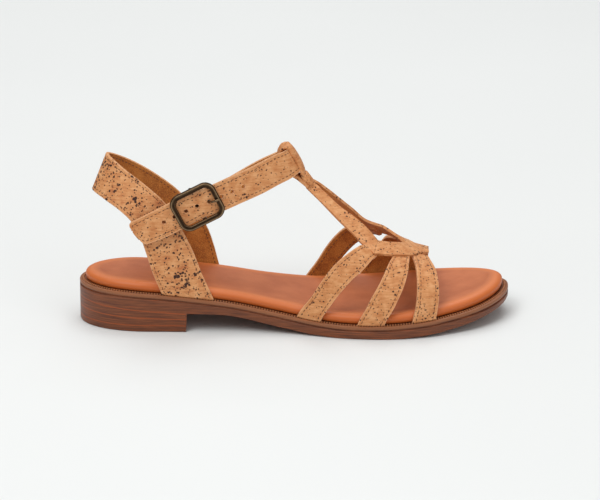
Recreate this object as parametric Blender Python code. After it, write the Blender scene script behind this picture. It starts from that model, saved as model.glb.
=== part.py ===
"""Right shoe of a T-strap sandal on a low block heel, built from its sole, footbed, straps and buckle.

Units are metres. +X runs from heel to toe, -Y is the outer (lateral) side, +Z is up.
The origin is the centre of the heel's ground face.
"""
import math
from collections import namedtuple

import bmesh
import bpy
import numpy as np
from mathutils import Matrix, Vector

MM = 0.001

# Driving dimensions of the last and the sole
SOLE_LENGTH = 252 * MM
BALL_HALF_WIDTH = 46 * MM
INSTEP_HEIGHT = 84 * MM
HEEL_SEAT_HEIGHT = 24.5 * MM
HEEL_LENGTH = 62 * MM
BREAST_SLOPE = 0.6 * MM
HEEL_ROUNDING = 40 * MM
TOE_ROUNDING = 50 * MM
TOE_SWING = 9.5 * MM
TOE_SWING_START = 0.6

# Sole edge: a chamfer below, a groove under the welt's rounded rim
EDGE_CHAMFER = 1.0 * MM
WELT_DROP = 2.2 * MM
GROOVE_HEIGHT = 0.9 * MM
GROOVE_DEPTH = 0.8 * MM
RIM_ROUND = 0.7 * MM

# Straps, footbed and the clearance between touching pieces
FIT_GAP = 0.3 * MM
STRAP_THICKNESS = 2.0 * MM
FOLD_SUNK = 0.7 * MM
FOLD_INSIDE = 0.3 * MM
ARM_TRIM = 1.2 * MM
RIM_WIDTH = 1.2 * MM
FOOTBED_THICKNESS = 5.4 * MM
FOOTBED_ROLL = 3.6 * MM
FOOTBED_DISH = 0.5 * MM
LOOP_WIDTH = 11.5 * MM
LOOP_BOW = 1.6 * MM
NECK_HALF_WIDTH = 5.0 * MM
NECK_HALF_DEPTH = 2.7 * MM

# Buckle and its holder
BUCKLE_LENGTH = 28.5 * MM
BUCKLE_WIDTH = 23.5 * MM
BUCKLE_CORNER = 6.5 * MM
BUCKLE_BAR = 3.3 * MM
BUCKLE_DEPTH = 2.6 * MM
CENTRE_BAR_RADIUS = 1.0 * MM
POST_RADIUS = 1.2 * MM
TAB_SKIN = 1.3 * MM
TAB_WIDTH = 13.0 * MM
TAB_LENGTH = 17.0 * MM
TAB_SLOT = 3.0 * MM
PRONG_RADIUS = 0.7 * MM
PRONG_RING_RADIUS = 0.6 * MM
HOLE_RADIUS = 1.15 * MM
HOLE_PITCH = 7.2 * MM
HOLES_BEHIND_PRONG = 4
HOLES_AHEAD_OF_PRONG = 3
BUCKLE_SLOPE = math.radians(27.0)

# Worked out from the sizes above
FOOT_INSET = RIM_WIDTH + STRAP_THICKNESS / 2
FOOTBED_INSET = RIM_WIDTH + STRAP_THICKNESS + FIT_GAP
OVER_BAND = STRAP_THICKNESS + FIT_GAP
TAB_THICKNESS = 2 * TAB_SKIN
OVER_TAB = OVER_BAND + TAB_THICKNESS + FIT_GAP

LATERAL = -1
MEDIAL = 1
OUTLINE_STEPS = 44
STRAP_STEPS = 14
TUCK_RAMP = 1.5
TUCK_INWARD = 0.55
TUCK_DOWN = 0.8
REAR_ARM_STEPS = 15
FRONT_ARM_STEPS = 9
LOOP_COLUMNS = 6
NECK_SIDES = 14
HEEL_BAND_STEPS = 60
ANKLE_STEPS = 64
MEASURING_STEPS = 400
SHARP_ANGLE = math.radians(40)
LAST_FULLNESS = 2.4

SoleStation = namedtuple("SoleStation", "along lateral medial")
# Half widths as shares of the ball's half width, before the ends are rounded
SOLE_STATIONS = (
    SoleStation(0.00, 0.624, 0.643),
    SoleStation(0.14, 0.630, 0.639),
    SoleStation(0.28, 0.667, 0.624),
    SoleStation(0.42, 0.722, 0.622),
    SoleStation(0.49, 0.787, 0.687),
    SoleStation(0.55, 0.870, 0.772),
    SoleStation(0.60, 0.948, 0.843),
    SoleStation(0.65, 0.996, 0.896),
    SoleStation(0.70, 1.013, 0.926),
    SoleStation(0.75, 0.998, 0.941),
    SoleStation(0.80, 0.948, 0.941),
    SoleStation(0.86, 0.857, 0.926),
    SoleStation(0.93, 0.813, 0.917),
    SoleStation(1.00, 0.783, 0.909),
)

HeightStation = namedtuple("HeightStation", "along height")
# Height of the sole's top as a share of the heel seat's height
TOP_STATIONS = (
    HeightStation(0.00, 1.000),
    HeightStation(0.14, 0.947),
    HeightStation(0.25, 0.849),
    HeightStation(0.35, 0.722),
    HeightStation(0.45, 0.527),
    HeightStation(0.55, 0.355),
    HeightStation(0.65, 0.318),
    HeightStation(0.75, 0.351),
    HeightStation(0.86, 0.453),
    HeightStation(1.00, 0.649),
)
# Height of the arch and the toe spring above the ground, as the same share
ARCH_STATIONS = (
    HeightStation(0.24, 0.450),
    HeightStation(0.35, 0.405),
    HeightStation(0.45, 0.188),
    HeightStation(0.55, 0.022),
    HeightStation(0.59, 0.000),
    HeightStation(0.66, 0.000),
    HeightStation(0.73, 0.000),
    HeightStation(0.86, 0.122),
    HeightStation(1.00, 0.390),
)

RidgeStation = namedtuple("RidgeStation", "along height across")
# Ridge of the last: height as a share of the instep's, place across as a share of the ball's half width
RIDGE_STATIONS = (
    RidgeStation(0.476, 1.083, 0.000),
    RidgeStation(0.504, 1.042, 0.000),
    RidgeStation(0.532, 0.994, 0.000),
    RidgeStation(0.571, 0.911, 0.004),
    RidgeStation(0.611, 0.812, 0.011),
    RidgeStation(0.651, 0.723, 0.015),
    RidgeStation(0.690, 0.643, 0.022),
    RidgeStation(0.722, 0.590, 0.020),
    RidgeStation(0.754, 0.539, 0.015),
    RidgeStation(0.810, 0.468, 0.011),
    RidgeStation(0.841, 0.435, 0.011),
)

StrapFold = namedtuple("StrapFold", "rear_along rear_rise front_along front_rise")
# Front straps over the last: rise is 0 at the sole's edge and 1 at the ridge
FRONT_STRAPS = (
    (
        StrapFold(0.501, 0.000, 0.556, 0.000),
        StrapFold(0.531, 0.075, 0.576, 0.060),
        StrapFold(0.558, 0.180, 0.599, 0.145),
        StrapFold(0.591, 0.325, 0.625, 0.250),
        StrapFold(0.623, 0.465, 0.653, 0.370),
        StrapFold(0.655, 0.620, 0.681, 0.553),
        StrapFold(0.668, 0.690, 0.687, 0.610),
    ),
    (
        StrapFold(0.639, 0.000, 0.701, 0.000),
        StrapFold(0.657, 0.080, 0.719, 0.090),
        StrapFold(0.671, 0.170, 0.732, 0.190),
        StrapFold(0.687, 0.280, 0.745, 0.320),
        StrapFold(0.700, 0.395, 0.754, 0.465),
        StrapFold(0.712, 0.530, 0.759, 0.610),
        StrapFold(0.723, 0.660, 0.762, 0.750),
        StrapFold(0.728, 0.740, 0.762, 0.820),
    ),
    (
        StrapFold(0.765, 0.000, 0.820, 0.000),
        StrapFold(0.771, 0.090, 0.823, 0.090),
        StrapFold(0.775, 0.200, 0.826, 0.200),
        StrapFold(0.777, 0.350, 0.827, 0.350),
        StrapFold(0.777, 0.500, 0.825, 0.520),
        StrapFold(0.775, 0.650, 0.820, 0.680),
        StrapFold(0.771, 0.790, 0.812, 0.830),
        StrapFold(0.768, 0.860, 0.807, 0.900),
    ),
)
# How much further forward each inner (medial) strap lies, as a share of the sole's length
MEDIAL_FORWARD = (0.021, 0.012, -0.008)

Tuck = namedtuple("Tuck", "depth start")
# How deep each strap's top slips under the kite, and from what share of its length
STRAP_TUCKS = {
    LATERAL: (Tuck(3.1 * MM, 0.82), Tuck(1.9 * MM, 0.72), Tuck(2.2 * MM, 0.72)),
    MEDIAL: (Tuck(3.4 * MM, 0.72), Tuck(3.3 * MM, 0.60), Tuck(4.2 * MM, 0.50)),
}

EdgePair = namedtuple("EdgePair", "rear_along rear_across rear_up front_along front_across front_up")
# Arms of the kite, inner edge then outer edge, as shares of length, half width and instep height;
# each arm turns at its mitre
MITRE_ROW = 6
LATERAL_ARM = (
    EdgePair(0.534, -0.011, 1.000, 0.524, -0.098, 0.936),
    EdgePair(0.552, -0.043, 0.956, 0.545, -0.152, 0.881),
    EdgePair(0.579, -0.109, 0.883, 0.571, -0.250, 0.818),
    EdgePair(0.607, -0.174, 0.813, 0.599, -0.348, 0.745),
    EdgePair(0.635, -0.250, 0.762, 0.627, -0.424, 0.670),
    EdgePair(0.663, -0.315, 0.695, 0.655, -0.533, 0.599),
    EdgePair(0.690, -0.398, 0.612, 0.679, -0.628, 0.558),
    EdgePair(0.714, -0.320, 0.587, 0.724, -0.543, 0.533),
    EdgePair(0.737, -0.198, 0.562, 0.768, -0.365, 0.500),
    EdgePair(0.758, -0.033, 0.526, 0.792, -0.170, 0.481),
    EdgePair(0.778, 0.018, 0.498, 0.803, -0.115, 0.472),
    EdgePair(0.811, 0.065, 0.467, 0.811, -0.065, 0.466),
)
MEDIAL_ARM = (
    EdgePair(0.534, 0.011, 1.000, 0.524, 0.098, 0.943),
    EdgePair(0.550, 0.043, 0.973, 0.545, 0.152, 0.899),
    EdgePair(0.579, 0.109, 0.898, 0.571, 0.250, 0.833),
    EdgePair(0.607, 0.174, 0.818, 0.599, 0.348, 0.752),
    EdgePair(0.635, 0.250, 0.736, 0.625, 0.446, 0.665),
    EdgePair(0.667, 0.317, 0.642, 0.657, 0.533, 0.578),
    EdgePair(0.708, 0.315, 0.595, 0.698, 0.565, 0.521),
    EdgePair(0.730, 0.228, 0.563, 0.744, 0.467, 0.490),
    EdgePair(0.748, 0.109, 0.539, 0.772, 0.315, 0.481),
    EdgePair(0.760, 0.011, 0.516, 0.794, 0.150, 0.468),
    EdgePair(0.768, -0.009, 0.502, 0.811, 0.060, 0.458),
)

LoopFold = namedtuple("LoopFold", "outer_along outer_up inner_along inner_up")
# Side view of the loop that holds the ankle strap, from the neck over the top and back
LOOP_FOLDS = (
    LoopFold(0.541, 0.985, 0.527, 0.990),
    LoopFold(0.529, 1.022, 0.521, 1.020),
    LoopFold(0.523, 1.078, 0.516, 1.070),
    LoopFold(0.515, 1.137, 0.508, 1.127),
    LoopFold(0.505, 1.190, 0.498, 1.178),
    LoopFold(0.496, 1.228, 0.491, 1.212),
    LoopFold(0.487, 1.249, 0.486, 1.230),
    LoopFold(0.478, 1.241, 0.480, 1.224),
    LoopFold(0.469, 1.210, 0.475, 1.206),
    LoopFold(0.465, 1.178, 0.472, 1.180),
    LoopFold(0.474, 1.105, 0.481, 1.112),
    LoopFold(0.490, 1.045, 0.496, 1.056),
    LoopFold(0.508, 1.010, 0.513, 1.030),
    LoopFold(0.522, 0.975, 0.527, 0.997),
    LoopFold(0.536, 0.938, 0.536, 0.962),
)

# Ends of the neck's middle line, as shares of length and instep height
NECK_ENDS = ((0.5195, 1.033), (0.5370, 0.961))

BandFoot = namedtuple("BandFoot", "side rear_along front_along lean")
# lean is how far the band moves back over the footbed's edge
HEEL_BAND_FEET = (BandFoot(LATERAL, 0.192, 0.311, 0.009), BandFoot(MEDIAL, 0.212, 0.329, 0.006))
# Heel band from the outer foot round the back to the inner foot
HEEL_BAND = (
    EdgePair(0.171, -0.598, 0.423, 0.285, -0.591, 0.405),
    EdgePair(0.157, -0.572, 0.554, 0.264, -0.554, 0.571),
    EdgePair(0.144, -0.543, 0.667, 0.236, -0.522, 0.738),
    EdgePair(0.121, -0.500, 0.786, 0.198, -0.446, 0.912),
    EdgePair(0.096, -0.435, 0.850, 0.157, -0.380, 1.018),
    EdgePair(0.061, -0.283, 0.907, 0.107, -0.239, 1.117),
    EdgePair(0.035, 0.000, 0.931, 0.069, 0.000, 1.192),
    EdgePair(0.063, 0.272, 0.908, 0.115, 0.261, 1.106),
    EdgePair(0.101, 0.413, 0.852, 0.175, 0.391, 0.980),
    EdgePair(0.131, 0.485, 0.786, 0.226, 0.452, 0.851),
    EdgePair(0.161, 0.522, 0.667, 0.264, 0.485, 0.714),
    EdgePair(0.179, 0.550, 0.554, 0.294, 0.522, 0.574),
    EdgePair(0.193, 0.583, 0.417, 0.312, 0.574, 0.417),
)

AnkleFold = namedtuple("AnkleFold", "top_along top_across top_up low_along low_across low_up stack")
# Ankle strap from its free tip on the outer side round the front to its sewn end on the inner side.
# The places across are on the leg; stack is what lies between the leg and the strap's middle.
ANKLE_STRAP = (
    AnkleFold(0.114, -0.524, 0.776, 0.152, -0.572, 0.630, OVER_BAND),
    AnkleFold(0.167, -0.500, 0.862, 0.202, -0.522, 0.692, OVER_TAB),
    AnkleFold(0.217, -0.522, 0.942, 0.242, -0.522, 0.754, OVER_TAB),
    AnkleFold(0.264, -0.522, 1.003, 0.290, -0.522, 0.832, OVER_TAB),
    AnkleFold(0.310, -0.520, 1.062, 0.335, -0.520, 0.878, OVER_TAB),
    AnkleFold(0.347, -0.533, 1.098, 0.371, -0.543, 0.912, 0.0),
    AnkleFold(0.398, -0.413, 1.150, 0.427, -0.413, 0.968, 0.0),
    AnkleFold(0.433, -0.337, 1.193, 0.462, -0.337, 1.014, 0.0),
    AnkleFold(0.457, -0.261, 1.217, 0.487, -0.261, 1.040, 0.0),
    AnkleFold(0.475, -0.170, 1.223, 0.505, -0.170, 1.062, 0.0),
    AnkleFold(0.483, 0.000, 1.221, 0.513, 0.000, 1.062, 0.0),
    AnkleFold(0.477, 0.120, 1.198, 0.509, 0.120, 1.040, 0.0),
    AnkleFold(0.462, 0.217, 1.157, 0.496, 0.239, 1.005, 0.0),
    AnkleFold(0.417, 0.348, 1.071, 0.451, 0.374, 0.918, 0.0),
    AnkleFold(0.373, 0.435, 0.980, 0.407, 0.467, 0.826, 0.0),
    AnkleFold(0.317, 0.470, 0.863, 0.349, 0.500, 0.708, OVER_BAND / 2),
    AnkleFold(0.278, 0.490, 0.769, 0.312, 0.526, 0.614, OVER_BAND),
    AnkleFold(0.238, 0.512, 0.679, 0.272, 0.546, 0.524, OVER_BAND),
)

# Buckle centre: along and up as shares of length and instep height, across as on the leg
BUCKLE_ALONG = 0.2746
BUCKLE_ACROSS = 0.522
BUCKLE_UP = 0.915


def hermite(places, values, tangents, at):
    """Value at a place on the cubic curve through the values, with the given tangents."""
    i = min(max(int(np.searchsorted(places, at, side="right")) - 1, 0), len(places) - 2)
    gap = places[i + 1] - places[i]
    t = (at - places[i]) / gap
    return float(
        (2 * t**3 - 3 * t**2 + 1) * values[i]
        + (t**3 - 2 * t**2 + t) * gap * tangents[i]
        + (3 * t**2 - 2 * t**3) * values[i + 1]
        + (t**3 - t**2) * gap * tangents[i + 1]
    )


def flowing_tangents(places, values):
    """Tangents of a curve that flows evenly through its points."""
    gaps = np.diff(places)
    slopes = np.diff(values) / gaps
    tangents = np.empty(len(places))
    tangents[0], tangents[-1] = slopes[0], slopes[-1]
    tangents[1:-1] = (slopes[:-1] * gaps[1:] + slopes[1:] * gaps[:-1]) / (gaps[:-1] + gaps[1:])
    return tangents


def station_value(stations, column, along):
    """Value of one column of a station table at a share of the sole's length."""
    places = np.array([row.along for row in stations])
    values = np.array([getattr(row, column) for row in stations])
    at = min(max(along, places[0]), places[-1])
    return hermite(places, values, flowing_tangents(places, values), at)


def end_rounding(x):
    """Share of the half width that is left near the rounded heel and toe."""
    if x < HEEL_ROUNDING:
        return math.sqrt(max(0.0, 1 - ((HEEL_ROUNDING - x) / HEEL_ROUNDING) ** 2))
    toe_start = SOLE_LENGTH - TOE_ROUNDING
    if x > toe_start:
        return math.sqrt(max(0.0, 1 - ((x - toe_start) / TOE_ROUNDING) ** 2))
    return 1.0


def half_width(x, side):
    """Half width of the sole at a distance from the heel's back, before the toe swings inward."""
    column = "lateral" if side == LATERAL else "medial"
    return station_value(SOLE_STATIONS, column, x / SOLE_LENGTH) * BALL_HALF_WIDTH


def outline_y(x, side):
    """Place across of the sole's edge, with the toe swung towards the inner side."""
    swing = TOE_SWING * max(0.0, (x / SOLE_LENGTH - TOE_SWING_START) / (1 - TOE_SWING_START)) ** 2
    return swing + side * (half_width(x, side) - side * swing) * end_rounding(x)


def top_height(x):
    """Height of the sole's top face."""
    return station_value(TOP_STATIONS, "height", x / SOLE_LENGTH) * HEEL_SEAT_HEIGHT


def bottom_height(x):
    """Height of the sole's underside: the heel, its breast, the arch and the toe spring."""
    if x <= HEEL_LENGTH:
        return 0.0
    return max(0.0, station_value(ARCH_STATIONS, "height", x / SOLE_LENGTH)) * HEEL_SEAT_HEIGHT


def place(x, y, z):
    """Point in the part's own frame, whose origin is under the middle of the heel."""
    return Vector((x - HEEL_LENGTH / 2, y, z))


def outline():
    """Places along the sole of its outline points, closer at heel, toe and the heel's breast."""
    xs = [SOLE_LENGTH * (1 - math.cos(math.pi * i / OUTLINE_STEPS)) / 2 for i in range(OUTLINE_STEPS + 1)]
    xs = [x for x in xs if abs(x - HEEL_LENGTH) > 3 * BREAST_SLOPE]
    xs += [HEEL_LENGTH, HEEL_LENGTH + BREAST_SLOPE]
    return sorted(xs)


def edge_ring(inset):
    """Closed ring of (x, y) points of the sole's edge, moved inward by the inset."""
    xs = outline()
    outer = [(x, outline_y(x, LATERAL)) for x in xs]
    inner = [(x, outline_y(x, MEDIAL)) for x in reversed(xs[1:-1])]
    ring = [Vector(point) for point in outer + inner]
    moved = []
    for i, point in enumerate(ring):
        tangent = (ring[(i + 1) % len(ring)] - ring[i - 1]).normalized()
        moved.append(point + Vector((-tangent.y, tangent.x)) * inset)
    return moved


def ladder_faces(ring, count):
    """Faces across a ring, from its heel tip to its toe tip, rung by rung."""
    half = count // 2
    faces = [(ring[0], ring[1], ring[-1])]
    for i in range(1, half - 1):
        faces.append((ring[i], ring[i + 1], ring[-i - 1], ring[-i]))
    faces.append((ring[half - 1], ring[half], ring[half + 1]))
    return faces


def ladder_solid(name, levels, material):
    """Solid between stacked rings, closed below and above by faces across them."""
    mesh = bmesh.new()
    rings = [[mesh.verts.new(place(*point)) for point in level] for level in levels]
    count = len(rings[0])
    for face in ladder_faces(rings[0], count) + ladder_faces(rings[-1], count):
        mesh.faces.new(face)
    for low, high in zip(rings, rings[1:]):
        for i in range(count):
            j = (i + 1) % count
            mesh.faces.new((low[i], low[j], high[j], high[i]))
    return finish_mesh(name, mesh, material)


def finish_mesh(name, mesh, material):
    """Object from a closed mesh, with its faces turned outward."""
    bmesh.ops.recalc_face_normals(mesh, faces=mesh.faces)
    data = bpy.data.meshes.new(name)
    mesh.to_mesh(data)
    mesh.free()
    data.shade_smooth()
    data.set_sharp_from_angle(angle=SHARP_ANGLE)
    data.materials.append(material)
    made = bpy.data.objects.new(name, data)
    bpy.context.scene.collection.objects.link(made)
    return made


def combine(target, other, operation):
    """Boolean of two solids, kept in the first; the second is removed."""
    modifier = target.modifiers.new("combine", "BOOLEAN")
    modifier.operation = operation
    modifier.solver = "EXACT"
    modifier.object = other
    bpy.context.view_layer.update()
    evaluated = target.evaluated_get(bpy.context.evaluated_depsgraph_get())
    result = bpy.data.meshes.new_from_object(evaluated)
    target.modifiers.clear()
    target.data = result
    bpy.data.objects.remove(other)
    return target


def make_material(name, colour, roughness, metallic=0.0):
    """Principled material of one colour."""
    material = bpy.data.materials.new(name)
    material.use_nodes = True
    shader = material.node_tree.nodes["Principled BSDF"]
    shader.inputs["Base Color"].default_value = (*colour, 1.0)
    shader.inputs["Roughness"].default_value = roughness
    shader.inputs["Metallic"].default_value = metallic
    return material


def last_point(along, side, rise):
    """Point on the last: rise turns from the sole's edge (0) to the ridge (1)."""
    x = along * SOLE_LENGTH
    ridge_y = station_value(RIDGE_STATIONS, "across", along) * BALL_HALF_WIDTH
    ridge_z = station_value(RIDGE_STATIONS, "height", along) * INSTEP_HEIGHT
    base_y = outline_y(x, side) - side * FOOT_INSET
    base_z = top_height(x) + FIT_GAP
    turn = rise * math.pi / 2
    y = ridge_y + (base_y - ridge_y) * math.cos(turn) ** (2 / LAST_FULLNESS)
    z = base_z + (ridge_z - base_z) * math.sin(turn) ** (2 / LAST_FULLNESS)
    return Vector((x, y, z))


def curve_rows(rows, steps):
    """Rows of numbers resampled evenly on smooth curves through the given rows."""
    table = np.array(rows, float)
    chord = np.linalg.norm(np.diff(table, axis=0), axis=1)
    places = np.concatenate([[0.0], np.cumsum(chord)])
    even = np.linspace(0.0, places[-1], steps + 1)
    columns = [(values, flowing_tangents(places, values)) for values in table.T]
    return [[hermite(places, values, tangents, at) for values, tangents in columns] for at in even]


def band_solid(name, grid, inside, outside, outward, material):
    """Solid of a strap: a grid of points on its middle surface, thickened to both sides.

    outward says which way is out at the grid's first row.
    """
    points = [[Vector(point) for point in row] for row in grid]
    rows, columns = len(points), len(points[0])
    normals = []
    for i in range(rows):
        line = []
        for j in range(columns):
            along = points[min(i + 1, rows - 1)][j] - points[max(i - 1, 0)][j]
            across = points[i][min(j + 1, columns - 1)] - points[i][max(j - 1, 0)]
            line.append(along.cross(across).normalized())
        normals.append(line)
    sign = 1.0 if normals[0][0].dot(Vector(outward)) > 0 else -1.0
    mesh = bmesh.new()
    skins = []
    for depth in (-inside, outside):
        skins.append(
            [
                [mesh.verts.new(place(*(points[i][j] + normals[i][j] * sign * depth))) for j in range(columns)]
                for i in range(rows)
            ]
        )
    for skin in skins:
        for i in range(rows - 1):
            for j in range(columns - 1):
                mesh.faces.new((skin[i][j], skin[i + 1][j], skin[i + 1][j + 1], skin[i][j + 1]))
    low, high = skins
    rim = [(i, 0) for i in range(rows)]
    rim += [(rows - 1, j) for j in range(1, columns)]
    rim += [(i, columns - 1) for i in range(rows - 2, -1, -1)]
    rim += [(0, j) for j in range(columns - 2, 0, -1)]
    for (a, b), (c, d) in zip(rim, rim[1:] + rim[:1]):
        mesh.faces.new((low[a][b], low[c][d], high[c][d], high[a][b]))
    return finish_mesh(name, mesh, material)


def between(low, high, columns):
    """Points from one edge of a strap to the other."""
    return [Vector(low).lerp(Vector(high), j / columns) for j in range(columns + 1)]


def share_point(along, across, up):
    """Point from shares of the sole's length, the ball's half width and the instep's height."""
    return (along * SOLE_LENGTH, across * BALL_HALF_WIDTH, up * INSTEP_HEIGHT)


def front_strap(name, folds, side, forward, tuck, material):
    """One front strap, from its foot on the sole to under the kite's arm."""
    grid = []
    rows = curve_rows(folds, STRAP_STEPS)
    for i, (rear, rear_rise, front, front_rise) in enumerate(rows):
        row = []
        under = min(1.0, max(0.0, (i / STRAP_STEPS - tuck.start) / (1 - tuck.start) * TUCK_RAMP))
        slip = Vector((0.0, -side * TUCK_INWARD, -TUCK_DOWN)) * (tuck.depth * under)
        for j in range(4):
            share = j / 3
            along = rear + (front - rear) * share + forward
            row.append(last_point(along, side, rear_rise + (front_rise - rear_rise) * share) + slip)
        grid.append(row)
    half = STRAP_THICKNESS / 2
    return band_solid(name, grid, half, half, (0, side, 0), material)


def kite_arm(name, folds, side, material):
    """One folded arm of the kite, from the neck over its mitre to the front tip."""
    rows = [share_point(*fold[:3]) + share_point(*fold[3:]) for fold in folds]
    rear = curve_rows(rows[: MITRE_ROW + 1], REAR_ARM_STEPS)
    front = curve_rows(rows[MITRE_ROW:], FRONT_ARM_STEPS)
    grid = []
    for i, row in enumerate(rear + front[1:]):
        inner, outer = Vector(row[:3]), Vector(row[3:])
        trim = ARM_TRIM * max(0.0, 1 - (i / REAR_ARM_STEPS) ** 3)
        outer = outer.lerp(inner, trim / (outer - inner).length)
        grid.append(between(inner, outer, 2))
    half = STRAP_THICKNESS / 2
    return band_solid(name, grid, half + FOLD_INSIDE, half - FOLD_SUNK, (0, side, 0.5), material)


def top_loop(name, material):
    """Loop at the top of the T-bar, bowed across, through which the ankle strap passes."""
    mesh = bmesh.new()
    columns = []
    for j in range(LOOP_COLUMNS + 1):
        share = 2 * j / LOOP_COLUMNS - 1
        y = share * LOOP_WIDTH / 2
        skins = ([], [])
        for fold in LOOP_FOLDS:
            for skin, along, up in zip(skins, (fold.outer_along, fold.inner_along), (fold.outer_up, fold.inner_up)):
                x = along * SOLE_LENGTH - LOOP_BOW * share**2
                skin.append(mesh.verts.new(place(x, y, up * INSTEP_HEIGHT)))
        columns.append(skins)
    count = len(LOOP_FOLDS)
    for i in range(count):
        j = (i + 1) % count
        for near, far in zip(columns, columns[1:]):
            for skin in range(2):
                mesh.faces.new((near[skin][i], near[skin][j], far[skin][j], far[skin][i]))
        for outer, inner in (columns[0], columns[-1]):
            mesh.faces.new((outer[i], outer[j], inner[j], inner[i]))
    return finish_mesh(name, mesh, material)


def neck_sleeve(name, material):
    """Oval sleeve round the neck, where the loop and the kite's arms meet."""
    start, end = (Vector((along * SOLE_LENGTH, 0.0, up * INSTEP_HEIGHT)) for along, up in NECK_ENDS)
    direction = (end - start).normalized()
    depth = Vector((0.0, 1.0, 0.0)).cross(direction)
    mesh = bmesh.new()
    rings = []
    for middle in (start, end):
        ring = []
        for k in range(NECK_SIDES):
            angle = 2 * math.pi * k / NECK_SIDES
            offset = Vector((0.0, NECK_HALF_WIDTH * math.cos(angle), 0.0))
            offset += depth * (NECK_HALF_DEPTH * math.sin(angle))
            ring.append(mesh.verts.new(place(*(middle + offset))))
        rings.append(ring)
    for k in range(NECK_SIDES):
        m = (k + 1) % NECK_SIDES
        mesh.faces.new((rings[0][k], rings[0][m], rings[1][m], rings[1][k]))
    for ring in rings:
        mesh.faces.new(ring)
    return finish_mesh(name, mesh, material)


def build_front_upper(material):
    """Front straps, kite and loop, joined where they cross."""
    upper = kite_arm("front_upper", LATERAL_ARM, LATERAL, material)
    combine(upper, kite_arm("medial_arm", MEDIAL_ARM, MEDIAL, material), "UNION")
    combine(upper, top_loop("loop", material), "UNION")
    combine(upper, neck_sleeve("neck", material), "UNION")
    for folds, forward, outer, inner in zip(
        FRONT_STRAPS, MEDIAL_FORWARD, STRAP_TUCKS[LATERAL], STRAP_TUCKS[MEDIAL]
    ):
        combine(upper, front_strap("strap", folds, LATERAL, 0.0, outer, material), "UNION")
        combine(upper, front_strap("strap", folds, MEDIAL, forward, inner, material), "UNION")
    return upper


def band_foot_rows(foot):
    """Two rows of a band's foot: on the sole, and straight up past the footbed's edge."""
    rows = []
    for lift, lean in ((FIT_GAP, 0.0), (FIT_GAP + FOOTBED_THICKNESS, foot.lean)):
        row = []
        for along in (foot.rear_along, foot.front_along):
            x = along * SOLE_LENGTH
            y = outline_y(x, foot.side) - foot.side * FOOT_INSET
            row += [x - lean * SOLE_LENGTH, y, top_height(x) + lift]
        rows.append(row)
    return rows


def build_heel_band(material):
    """Band from the sole's outer side round the back of the heel to the inner side."""
    lateral, medial = HEEL_BAND_FEET
    rows = band_foot_rows(lateral)
    rows += [share_point(*fold[:3]) + share_point(*fold[3:]) for fold in HEEL_BAND]
    rows += reversed(band_foot_rows(medial))
    grid = [between(row[:3], row[3:], 2) for row in curve_rows(rows, HEEL_BAND_STEPS)]
    half = STRAP_THICKNESS / 2
    return band_solid("heel_band", grid, half, half, (0, LATERAL, 0), material)


def ankle_rows(steps):
    """Edges of the ankle strap, with its layers stacked outward from the leg."""
    rows = []
    for fold in ANKLE_STRAP:
        top = list(share_point(fold.top_along, fold.top_across, fold.top_up))
        low = list(share_point(fold.low_along, fold.low_across, fold.low_up))
        for point in (top, low):
            point[1] += math.copysign(fold.stack, point[1]) if fold.stack else 0.0
        rows.append(top + low)
    return curve_rows(rows, steps)


def buckle_frame_axes():
    """Centre and axes of the buckle: along the strap, across it, and outward from the leg."""
    across = LATERAL * (BUCKLE_ACROSS * BALL_HALF_WIDTH + OVER_TAB)
    centre = Vector((BUCKLE_ALONG * SOLE_LENGTH, across, BUCKLE_UP * INSTEP_HEIGHT))
    along = Vector((math.cos(BUCKLE_SLOPE), 0.0, math.sin(BUCKLE_SLOPE)))
    upward = Vector((-math.sin(BUCKLE_SLOPE), 0.0, math.cos(BUCKLE_SLOPE)))
    return centre, along, upward, Vector((0.0, LATERAL, 0.0))


def buckle_point(u, v, n):
    """Point of the buckle's own frame, as x, y, z before the part's origin is set."""
    centre, along, upward, outward = buckle_frame_axes()
    return centre + along * u + upward * v + outward * n


def hole_places():
    """Centre and outward direction of each punched hole, spaced along the strap from the prong's."""
    rows = ankle_rows(MEASURING_STEPS)
    middles = [(Vector(row[:3]) + Vector(row[3:])) / 2 for row in rows]
    prong = buckle_point(HOLE_PITCH, 0.0, 0.0)
    start = min(range(len(middles)), key=lambda i: (middles[i] - prong).length)
    places = []
    for count in range(-HOLES_BEHIND_PRONG, HOLES_AHEAD_OF_PRONG + 1):
        step = 1 if count > 0 else -1
        i = start
        walked = 0.0
        while walked < abs(count) * HOLE_PITCH:
            walked += (middles[i + step] - middles[i]).length
            i += step
        along = middles[i + 1] - middles[i - 1]
        across = Vector(rows[i][:3]) - Vector(rows[i][3:])
        places.append((middles[i], along.cross(across).normalized()))
    return places


def build_ankle_strap(material):
    """Ankle strap with its punched holes."""
    grid = [between(row[:3], row[3:], 2) for row in ankle_rows(ANKLE_STEPS)]
    half = STRAP_THICKNESS / 2
    strap = band_solid("ankle_strap", grid, half, half, (0, LATERAL, 0), material)
    for centre, outward in hole_places():
        mesh = bmesh.new()
        turn = outward.to_track_quat("Z", "Y").to_matrix().to_4x4()
        bmesh.ops.create_cone(
            mesh,
            cap_ends=True,
            segments=10,
            radius1=HOLE_RADIUS,
            radius2=HOLE_RADIUS,
            depth=4 * STRAP_THICKNESS,
            matrix=Matrix.Translation(place(*centre)) @ turn,
        )
        combine(strap, finish_mesh("punch", mesh, material), "DIFFERENCE")
    return strap


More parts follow.
